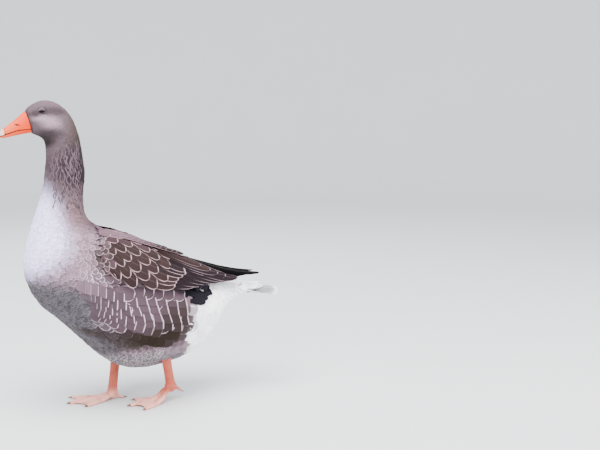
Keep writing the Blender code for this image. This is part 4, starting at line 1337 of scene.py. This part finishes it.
    def slate(self, side, chance, skin):
        """The dark wedge between the wing, the flank and the white rear"""
        way = Vector(self.slate_lie).normalized()
        starts = Roots(Surface.covered(wings=False), skin)
        for x, z in self.slate_tips:
            root = Vector((x + SHIFT, 0.0, z)) - way * self.slate_length
            if not starts.strike((root.x, side * self.outside, root.z), (0, -side, 0)):
                raise RuntimeError("a slate feather's root misses the body")
        roots, normals, patches = starts.arrays()
        count = len(roots)
        finish = feather_finish("slate_feather", 0.05, 0.03, streak=0.3, shine=0.05)
        look = {
            "rise": np.full(count, 0.0040), "lift": 0.0030, "sink": 0.0008, "reach": 0.006,
            "finish": finish,
            "marks": coat_marks(chance, colour("slate"), colour("mottle"), 0.4, patches),
        }
        item = lay_feathers("coat_slate_" + SIDE_NAMES[side], COVERT_FORM, starts.surface, roots,
                            normals, np.array([way] * count), np.full(count, self.slate_length),
                            np.full(count, self.slate_half_width), chance, look)
        settle(item, "plumage")


class GOOSE_OT_neck_ridges(Operator):
    """The long wavy ridges that the neck feathers clump into, with dark grooves between them"""

    bl_idname = "goose.neck_ridges"
    bl_label = "Neck ridges"

    low, high, step = 0.500, 0.6215, 0.0135
    around, axis, outside = 34, -0.177, 0.12
    lean, back_high, front_drop, bare_front = 0.016, 0.610, 0.014, 0.86
    length, half_width = 0.047, 0.0025
    sway, wave_length = 0.0021, 0.026

    def execute(self, context):
        chance = np.random.default_rng(97)
        surface = Surface([made["skin"]])
        starts = Roots(surface, surface)
        ways, phases = [], []
        levels = int(round((self.high - self.low) / self.step))
        for level in range(levels + 1):
            for number in range(self.around):
                turn = (number + 0.5 * (level % 2)) / self.around + chance.normal(0, 0.004)
                angle = 2 * math.pi * turn
                out = Vector((-math.cos(angle), math.sin(angle), 0))
                z = self.low + level * self.step + chance.normal(0, 0.0028)
                z += self.lean * math.cos(angle)
                centre = Vector((self.axis + SHIFT, 0, z))
                if z > self.back_high - self.front_drop * math.cos(angle):
                    continue
                if abs(math.cos(angle)) > self.bare_front:
                    continue
                if not starts.strike(centre + out * self.outside, -out):
                    continue
                across = Vector((0, 0, 1)).cross(out)
                ways.append(Vector((0.12, 0, -1)) + across * chance.normal(0, 0.07))
                phases.append(2 * math.pi * z / self.wave_length + 5 * turn + chance.normal(0, 0.7))
        roots, normals, patches = starts.arrays()
        count = len(roots)
        finish = feather_finish("neck_ridge", 0.70, 0.20, streak=0.3, tip_light=0.0)
        front = ramp(roots[:, 0] - SHIFT, -0.196, -0.214)
        look = {
            "rise": (0.0022 + 0.0010 * chance.uniform(0, 1, count)) * (1 - 0.35 * front),
            "sink": 0.0010, "sway": self.sway, "waves": self.length / self.wave_length,
            "phase": np.array(phases), "reach": 0.003, "finish": finish,
            "marks": coat_marks(chance, colour("ridge"), colour("groove"), 0.95 - 0.45 * front,
                                patches),
        }
        lengths = self.length * chance.uniform(0.75, 1.2, count)
        widths = self.half_width * chance.uniform(0.8, 1.2, count)
        item = lay_feathers("neck_ridges", LOCK_FORM, surface, roots, normals, np.array(ways),
                            lengths, widths, chance, look)
        settle(item, "plumage")
        return {"FINISHED"}


class GOOSE_OT_tail(Operator):
    """The tail's fan of thirteen feathers, grey in the middle and white round the edge"""

    bl_idname = "goose.tail"
    bl_label = "Tail"

    count, length, side_shorter, spread, drop = 13, 0.104, 0.010, 27.0, 6.0
    level_step, half_width, root = 0.00105, 0.0115, 0.008
    centre = (0.2325, 0.0, 0.240)

    def execute(self, context):
        chance = np.random.default_rng(53)
        slope = math.radians(self.drop)
        back = np.array([math.cos(slope), 0, -math.sin(slope)])
        up = np.array([math.sin(slope), 0, math.cos(slope)])
        form, count = VANE_FORM, self.count
        last = (count - 1) / 2
        grids, grounds = [], []
        for number in range(count):
            place = number - last
            order = 2 * abs(place) - (1 if place < 0 else 0)
            turn = math.radians(self.spread * place / last)
            way = back * math.cos(turn) + np.array([0, math.sin(turn), 0])
            side = np.array([0, math.cos(turn), 0]) - back * math.sin(turn)
            length = self.length - self.side_shorter * (place / last) ** 2
            level = self.level_step * (count / 2 - 1.5 - order)
            origin = np.array(self.centre) + (SHIFT, 0, 0) + way * self.root + up * level
            grid = []
            for a, wide in zip(form.steps, form.widths):
                line = []
                for s in form.lines:
                    point = origin + way * length * a - side * self.half_width * wide * s
                    line.append(point + up * form.camber * self.half_width * (1 - s * s) * wide)
                grid.append(line)
            grids.append(grid)
            grey = 1.0 - 0.3 * abs(place) / last
            grounds.append(blend(colour("white"), colour("tail_grey"), grey))
        cells = (np.arange(count) + 0.5) / count
        marks = {"tint": chance.uniform(0, 1, count), "ground": np.array(grounds),
                 "edge": np.tile(colour("white"), (count, 1)), "strength": np.ones(count),
                 "patch": np.stack([cells, np.full(count, 0.5)], axis=1),
                 "patch_size": np.array([0.9 / count, 0.9])}
        finish = feather_finish("tail_feather", 0.34, 0.16, gloss=0.65, streak=0.15)
        ups = np.tile(up, (count, len(form.steps), 1))
        item = feather_mesh("tail_feathers", form, np.array(grids), ups, marks, finish)
        settle(item, "white", "tail")
        return {"FINISHED"}


class GOOSE_OT_bill(Operator):
    """The two halves of the bill and its nail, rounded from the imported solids"""

    bl_idname = "goose.bill"
    bl_label = "Bill"

    nostril_at, nostril_size = (-0.2795, 0.0125, 0.6385), (0.0062, 0.0050, 0.0021)
    nostril_tilt = 0.25
    mouth_line = ((-0.325, 0.6115), (-0.297, 0.6205), (-0.280, 0.6262), (-0.262, 0.6282),
                  (-0.240, 0.6290))
    tip, bill_length, nail_back, nail_blend = -0.3165, 0.06, -0.3100, 0.006
    rounds = 5

    def execute(self, context):
        finish, nail = self.finish(), self.nail_finish()
        for node, slot, wanted in (("bill_upper", "bill", finish), ("bill_lower", "bill", finish),
                                   ("bill_nail", "nail", nail)):
            item = node_copy([node], node + "_shape")
            soften(item, sizes().bill_voxel, self.rounds)
            self.mark_mouth(item)
            wear(item, wanted)
            settle(item, slot, node)
        return {"FINISHED"}

    def mark_mouth(self, item):
        """Marks how far each point is from the line of the mouth, and the nostrils"""
        points = read_points(item)[0] - (SHIFT, 0, 0)
        away = points[:, 2] - np.interp(points[:, 0], *zip(*self.mouth_line))
        mark(item.data, "mouth", "FLOAT", away)
        half = folded(points) - self.nostril_at
        half[:, 2] += self.nostril_tilt * half[:, 0]
        reach = np.linalg.norm(half / self.nostril_size, axis=1)
        mark(item.data, "nostril", "FLOAT", 1 - ramp(reach, 0.7, 1.2))

    def finish(self):
        finish = Finish("bill", roughness=0.45, specular_ior_level=0.25, subsurface_weight=0.12,
                        subsurface_scale=0.004)
        place = finish.place()
        x, _, _ = finish.parts(place)
        length = (x - (SHIFT + self.tip)) / self.bill_length
        away = finish.attribute("mouth", "Fac").absolute()
        cloud = finish.noise(place, 130.0, 3.0)
        base = finish.mix(length.ramp(0.30, 0.75), colour("bill_pink"), colour("bill"))
        base = finish.mix(length.ramp(0.70, 1.0), base, colour("bill_base"))
        base = finish.lit(base, cloud * 0.24 + 0.88)
        front = 1 - length.ramp(0.55, 0.95)
        line = (1 - away.ramp(0.0007, 0.0020)) * (front * 0.3 + 0.7)
        base = finish.mix(line, base, colour("mouth"))
        base = finish.mix(finish.attribute("nostril", "Fac") * 0.95, base, colour("mouth"))
        fine = finish.noise(place, 900.0, 2.0)
        return finish.show(base, height=fine + cloud, depth=0.00015, strength=0.5)

    def nail_finish(self):
        finish = Finish("bill_nail", roughness=0.3, subsurface_weight=0.1, subsurface_scale=0.003)
        place = finish.place()
        grain = finish.noise(place, 300.0, 2.0)
        x, _, _ = finish.parts(place)
        share = (x - (SHIFT + self.nail_back)) / self.nail_blend
        base = finish.mix(share.ramp(0.0, 1.0), colour("nail"), colour("bill_pink"))
        base = finish.lit(base, grain * 0.16 + 0.92)
        return finish.show(base, height=grain, depth=0.0001, strength=0.4)


class GOOSE_OT_eyes(Operator):
    """The eyes, set in the head, with lids that close on them as an almond"""

    bl_idname = "goose.eyes"
    bl_label = "Eyes"

    lid_radius, lid_wall = 0.0083, 0.0007
    lid_reach = math.radians(76)
    wide, tall = 0.0066, 0.0033
    middle = (-0.0009, -0.0028)
    fold, lip, lip_width = 0.00022, 0.0004, 0.12
    cornea = 0.05
    rings, spokes = 9, 44
    pupil, white = (0.004, 0.003, 0.003), (0.012, 0.008, 0.007)

    def execute(self, context):
        eye, lid = self.eye_finish(), self.lid_finish()
        for side in (LEFT, RIGHT):
            name = SIDE_NAMES[side]
            centre = Vector((EYE_AT[0] + SHIFT, side * EYE_AT[1], EYE_AT[2]))
            bpy.ops.mesh.primitive_uv_sphere_add(segments=40, ring_count=24, radius=EYE_RADIUS)
            ball = context.active_object
            ball.name = ball.data.name = "eyeball_" + name
            for vertex in ball.data.vertices:
                bulge = 1 + self.cornea * smooth((vertex.co.z / EYE_RADIUS - 0.80) / 0.2)
                x, y, z = vertex.co * bulge
                vertex.co = centre + Vector((x, side * z, side * y))
            self.turn_out(ball)
            wear(ball, eye)
            settle(ball, "eye", "eye_" + name)
            lids = self.lids(centre, side)
            wear(lids, lid)
            settle(lids, "plumage")
        return {"FINISHED"}

    def turn_out(self, item):
        """Makes every face look outwards"""
        work = bmesh.new()
        work.from_mesh(item.data)
        bmesh.ops.remove_doubles(work, verts=work.verts, dist=1e-7)
        bmesh.ops.recalc_face_normals(work, faces=work.faces)
        work.to_mesh(item.data)
        work.free()

    def lid_point(self, side, angle, share, radius):
        """A point of the lids, from the almond's edge at share 0 to their foot at 1"""
        x = self.wide * math.cos(angle) + self.middle[0]
        z = self.tall * math.sin(angle) * (0.75 + 0.25 * math.sin(angle) ** 2) + self.middle[1]
        edge = (x / self.lid_radius, z / self.lid_radius)
        wide = math.sin(self.lid_reach)
        px, pz = blend(edge, (wide * math.cos(angle), wide * math.sin(angle)), share)
        py = math.sqrt(max(1 - px * px - pz * pz, 0.0))
        return Vector((radius * px, side * radius * py, radius * pz))

    def lids(self, centre, side):
        """A cup over the eyeball with an almond opening, its lip thicker than its root"""
        work = bmesh.new()
        outer, inner = [], []
        shares = [ring / (self.rings - 1) for ring in range(self.rings)]
        for share in shares:
            fold = self.fold * math.sin(share * 3.5 * math.pi) * (1 - share)
            lip = self.lip * math.exp(-((share / self.lip_width) ** 2))
            for shell, radius in ((outer, self.lid_radius + fold + lip),
                                  (inner, self.lid_radius - self.lid_wall)):
                row = [self.lid_point(side, 2 * math.pi * spoke / self.spokes, share, radius)
                       for spoke in range(self.spokes)]
                shell.append([work.verts.new(centre + point) for point in row])
        pairs = [*zip(outer, outer[1:]), *zip(inner, inner[1:])]
        for first, second in pairs + [(outer[0], inner[0]), (outer[-1], inner[-1])]:
            weave(work, first, second, closed=True)
        bmesh.ops.recalc_face_normals(work, faces=work.faces)
        item = object_from(work, "lids_" + SIDE_NAMES[side])
        bare = [1 - smooth(share / 0.5) for share in shares]
        mark(item.data, "bare", "FLOAT", np.repeat(bare, 2 * self.spokes))
        return item

    def eye_finish(self):
        finish = Finish("eye", roughness=0.08, specular_ior_level=0.12)
        x, _, z = finish.parts(finish.place())
        along = x - (EYE_AT[0] + SHIFT + self.middle[0] * 0.6)
        up = z - (EYE_AT[2] + self.middle[1] * 0.6)
        away = (along * along + up * up).maths("SQRT")
        base = finish.mix(away.ramp(0.0026, 0.0030), self.pupil, colour("iris"))
        return finish.show(finish.mix(away.ramp(0.0050, 0.0062), base, self.white))

    def lid_finish(self):
        finish = Finish("lid", roughness=0.75, specular_ior_level=0.1)
        fuzz = finish.noise(finish.place(), 1500.0, 2.0)
        share = finish.attribute("bare", "Fac")
        base = finish.mix(share.ramp(0.1, 0.9), colour("head"), colour("lid"))
        return finish.show(finish.lit(base, fuzz * 0.5 + 0.75), height=fuzz, depth=0.0002)


class GOOSE_OT_legs(Operator):
    """Shanks, webbed feet and claws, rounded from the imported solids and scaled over"""

    bl_idname = "goose.legs"
    bl_label = "Legs"

    toe_names = ("hind", "inner", "middle", "outer")
    swell, claw_voxel, rounds, claw_rounds = 0.0008, 0.0005, 7, 3
    scale_height, scale_depth, grain_depth = 0.0046, 0.00014, 0.00012
    sole, sole_blend = 0.0012, 0.006

    def execute(self, context):
        skin, horn = self.finish(), self.claw_finish()
        for side in (LEFT, RIGHT):
            name = SIDE_NAMES[side]
            nodes = ["shank_" + name, "foot_" + name]
            leg = node_copy(nodes, "leg_" + name, self.swell)
            soften(leg, sizes().leg_voxel, self.rounds)
            self.scales(leg)
            wear(leg, skin)
            settle(leg, "skin", *nodes)
            nodes = ["claw_%s_%s" % (toe, name) for toe in self.toe_names]
            claws = node_copy(nodes, "claws_" + name)
            soften(claws, self.claw_voxel, self.claw_rounds)
            wear(claws, horn)
            settle(claws, "claw", *nodes)
        return {"FINISHED"}

    def scales(self, leg):
        """Rings of broad scales down the shank, grain all over, and flat soles"""
        points, normals = read_points(leg)
        x, y, z = points.T
        wave = np.abs(np.sin(z / self.scale_height * math.pi + y / 0.004))
        fine = np.sin(x / 0.0016) * np.sin(y / 0.0017) * np.sin(z / 0.0018)
        lift = self.scale_depth * wave * ramp(z, 0.030, 0.045) + self.grain_depth * fine
        lift[z < self.sole] = 0
        points += normals * lift[:, None]
        lowest = points[:, 2].min()
        points[:, 2] -= lowest * (1 - ramp(points[:, 2], lowest, lowest + self.sole_blend))
        write_points(leg, points)

    def finish(self):
        finish = Finish("leg_skin", roughness=0.5, subsurface_weight=0.08, subsurface_scale=0.004)
        place = finish.place()
        _, _, z = finish.parts(place)
        cells = finish.node("ShaderNodeTexVoronoi", {"feature": "DISTANCE_TO_EDGE"},
                            {"Vector": place, "Scale": 420.0}, output="Distance")
        cloud = finish.noise(place, 60.0, 3.0)
        # crease is darker along the edges of the scales: painted shade in the creases between them
        crease = 1 - cells.ramp(0.0, 0.09)
        base = finish.mix(z.ramp(0.008, 0.032), colour("web"), colour("leg"))
        base = finish.mix(cloud.ramp(0.45, 0.75) * 0.55, base, colour("leg_shade"))
        base = finish.mix(crease * 0.4, base, colour("leg_shade"))
        height = cells.ramp(0.0, 0.12) + cloud * 0.6
        return finish.show(base, height=height, depth=0.0004, strength=0.7)

    def claw_finish(self):
        finish = Finish("claw", roughness=0.4)
        grain = finish.noise(finish.place(), 400.0, 3.0)
        base = finish.mix(grain.ramp(0.4, 0.7), colour("claw"), colour("leg_shade"))
        return finish.show(finish.lit(base, grain * 0.3 + 0.8), height=grain, depth=0.0002)


class GOOSE_OT_stage(Operator):
    """A pale studio floor that turns up into a wall, soft lights and the camera"""

    bl_idname = "goose.stage"
    bl_label = "Studio"

    floor_radius, wall_radius, wall_steps = 4.2, 1.6, 8
    camera_at = (-0.913, -2.471, 0.740)
    camera_turn, camera_pitch, camera_lens = 27.92, 7.33, 69.0
    air, air_strength = (0.9, 0.94, 1.0, 1), 1.6
    # Name, place, what it shines at, breadth and power
    lamps = (
        ("sky", (-0.6, -0.8, 3.2), (0.0, 0.0, 0.3), 3.2, 322.0),
        ("window", (-2.6, -1.8, 1.7), (0.0, 0.0, 0.35), 1.8, 83.0),
        ("fill", (2.3, -2.0, 1.0), (0.1, 0.0, 0.2), 1.8, 95.0),
        ("back", (0.6, 2.6, 1.8), (0.0, 0.0, 0.3), 1.8, 24.0),
    )

    def execute(self, context):
        bpy.ops.mesh.primitive_circle_add(vertices=96, radius=self.floor_radius, fill_type="NGON")
        floor = context.active_object
        floor.name = floor.data.name = "studio_floor"
        self.raise_wall(floor)
        finish = Finish("studio_floor", roughness=0.9)
        grain = finish.noise(finish.place(), 3.0, 2.0)
        dim = tuple(value * 0.97 for value in colour("floor"))
        wear(floor, finish.show(finish.mix(grain, dim, colour("floor"))))
        for lamp in self.lamps:
            self.lamp(context, *lamp)
        world = bpy.data.worlds.new("studio_air")
        world.use_nodes = True
        world.node_tree.nodes["Background"].inputs["Color"].default_value = self.air
        world.node_tree.nodes["Background"].inputs["Strength"].default_value = self.air_strength
        context.scene.world = world
        camera = linked("camera", bpy.data.cameras.new("camera"))
        camera.data.lens = self.camera_lens
        camera.data.sensor_width = 36.0
        camera.location = self.camera_at
        pitch, turn = math.radians(90 - self.camera_pitch), -math.radians(self.camera_turn)
        camera.rotation_euler = (pitch, 0, turn)
        context.scene.camera = camera
        return {"FINISHED"}

    def raise_wall(self, floor):
        """Draws the floor's edge out and up in a quarter round"""
        bpy.ops.object.mode_set(mode="EDIT")
        bpy.ops.mesh.select_mode(type="EDGE")
        radius, before = self.floor_radius, 0.0
        for step in range(1, self.wall_steps + 1):
            angle = math.pi / 2 * step / self.wall_steps
            wider = self.floor_radius + self.wall_radius * math.sin(angle)
            rise = self.wall_radius * (math.cos(before) - math.cos(angle))
            work = bmesh.from_edit_mesh(floor.data)
            for item in [*work.faces, *work.edges, *work.verts]:
                item.select = False
            for edge in work.edges:
                edge.select = edge.is_boundary
            bmesh.update_edit_mesh(floor.data)
            bpy.ops.mesh.extrude_region_move(TRANSFORM_OT_translate={"value": (0, 0, rise)})
            scale = wider / radius
            bpy.ops.transform.resize(value=(scale, scale, 1), center_override=(0, 0, 0))
            radius, before = wider, angle
        bpy.ops.object.mode_set(mode="OBJECT")

    def lamp(self, context, name, at, target, size, power):
        light = bpy.data.lights.new(name, "AREA")
        light.shape = "DISK"
        light.size = size
        light.energy = power
        item = linked(name, light)
        item.location = at
        item.rotation_euler = (Vector(target) - Vector(at)).to_track_quat("-Z", "Y").to_euler()


class GOOSE_PT_panel(Panel):
    """Lists the sizes, the colours and the steps"""

    bl_label = "Landrace goose"
    bl_idname = "GOOSE_PT_panel"
    bl_space_type = "VIEW_3D"
    bl_region_type = "UI"
    bl_category = "Goose"

    def draw(self, context):
        for group in (context.scene.goose_sizes, context.scene.goose_colours):
            box = self.layout.box()
            for key in group.__annotations__:
                box.prop(group, key)
        for step in STEPS:
            self.layout.operator(step.bl_idname)


STEPS = (GOOSE_OT_skin, GOOSE_OT_wings, GOOSE_OT_tail, GOOSE_OT_coat, GOOSE_OT_flanks,
         GOOSE_OT_neck_ridges, GOOSE_OT_bill, GOOSE_OT_eyes, GOOSE_OT_legs, GOOSE_OT_stage)
CLASSES = (GooseColours, GooseSizes) + STEPS + (GOOSE_PT_panel,)


def register():
    for item in CLASSES:
        bpy.utils.register_class(item)
    bpy.types.Scene.goose_colours = PointerProperty(type=GooseColours)
    bpy.types.Scene.goose_sizes = PointerProperty(type=GooseSizes)


def unregister():
    del bpy.types.Scene.goose_colours
    del bpy.types.Scene.goose_sizes
    for item in reversed(CLASSES):
        bpy.utils.unregister_class(item)


def main():
    register()
    bpy.ops.goose.skin()
    bpy.ops.goose.wings()
    bpy.ops.goose.tail()
    bpy.ops.goose.coat()
    bpy.ops.goose.flanks()
    bpy.ops.goose.neck_ridges()
    bpy.ops.goose.bill()
    bpy.ops.goose.eyes()
    bpy.ops.goose.legs()
    bpy.ops.goose.stage()


if __name__ == "__main__":
    main()
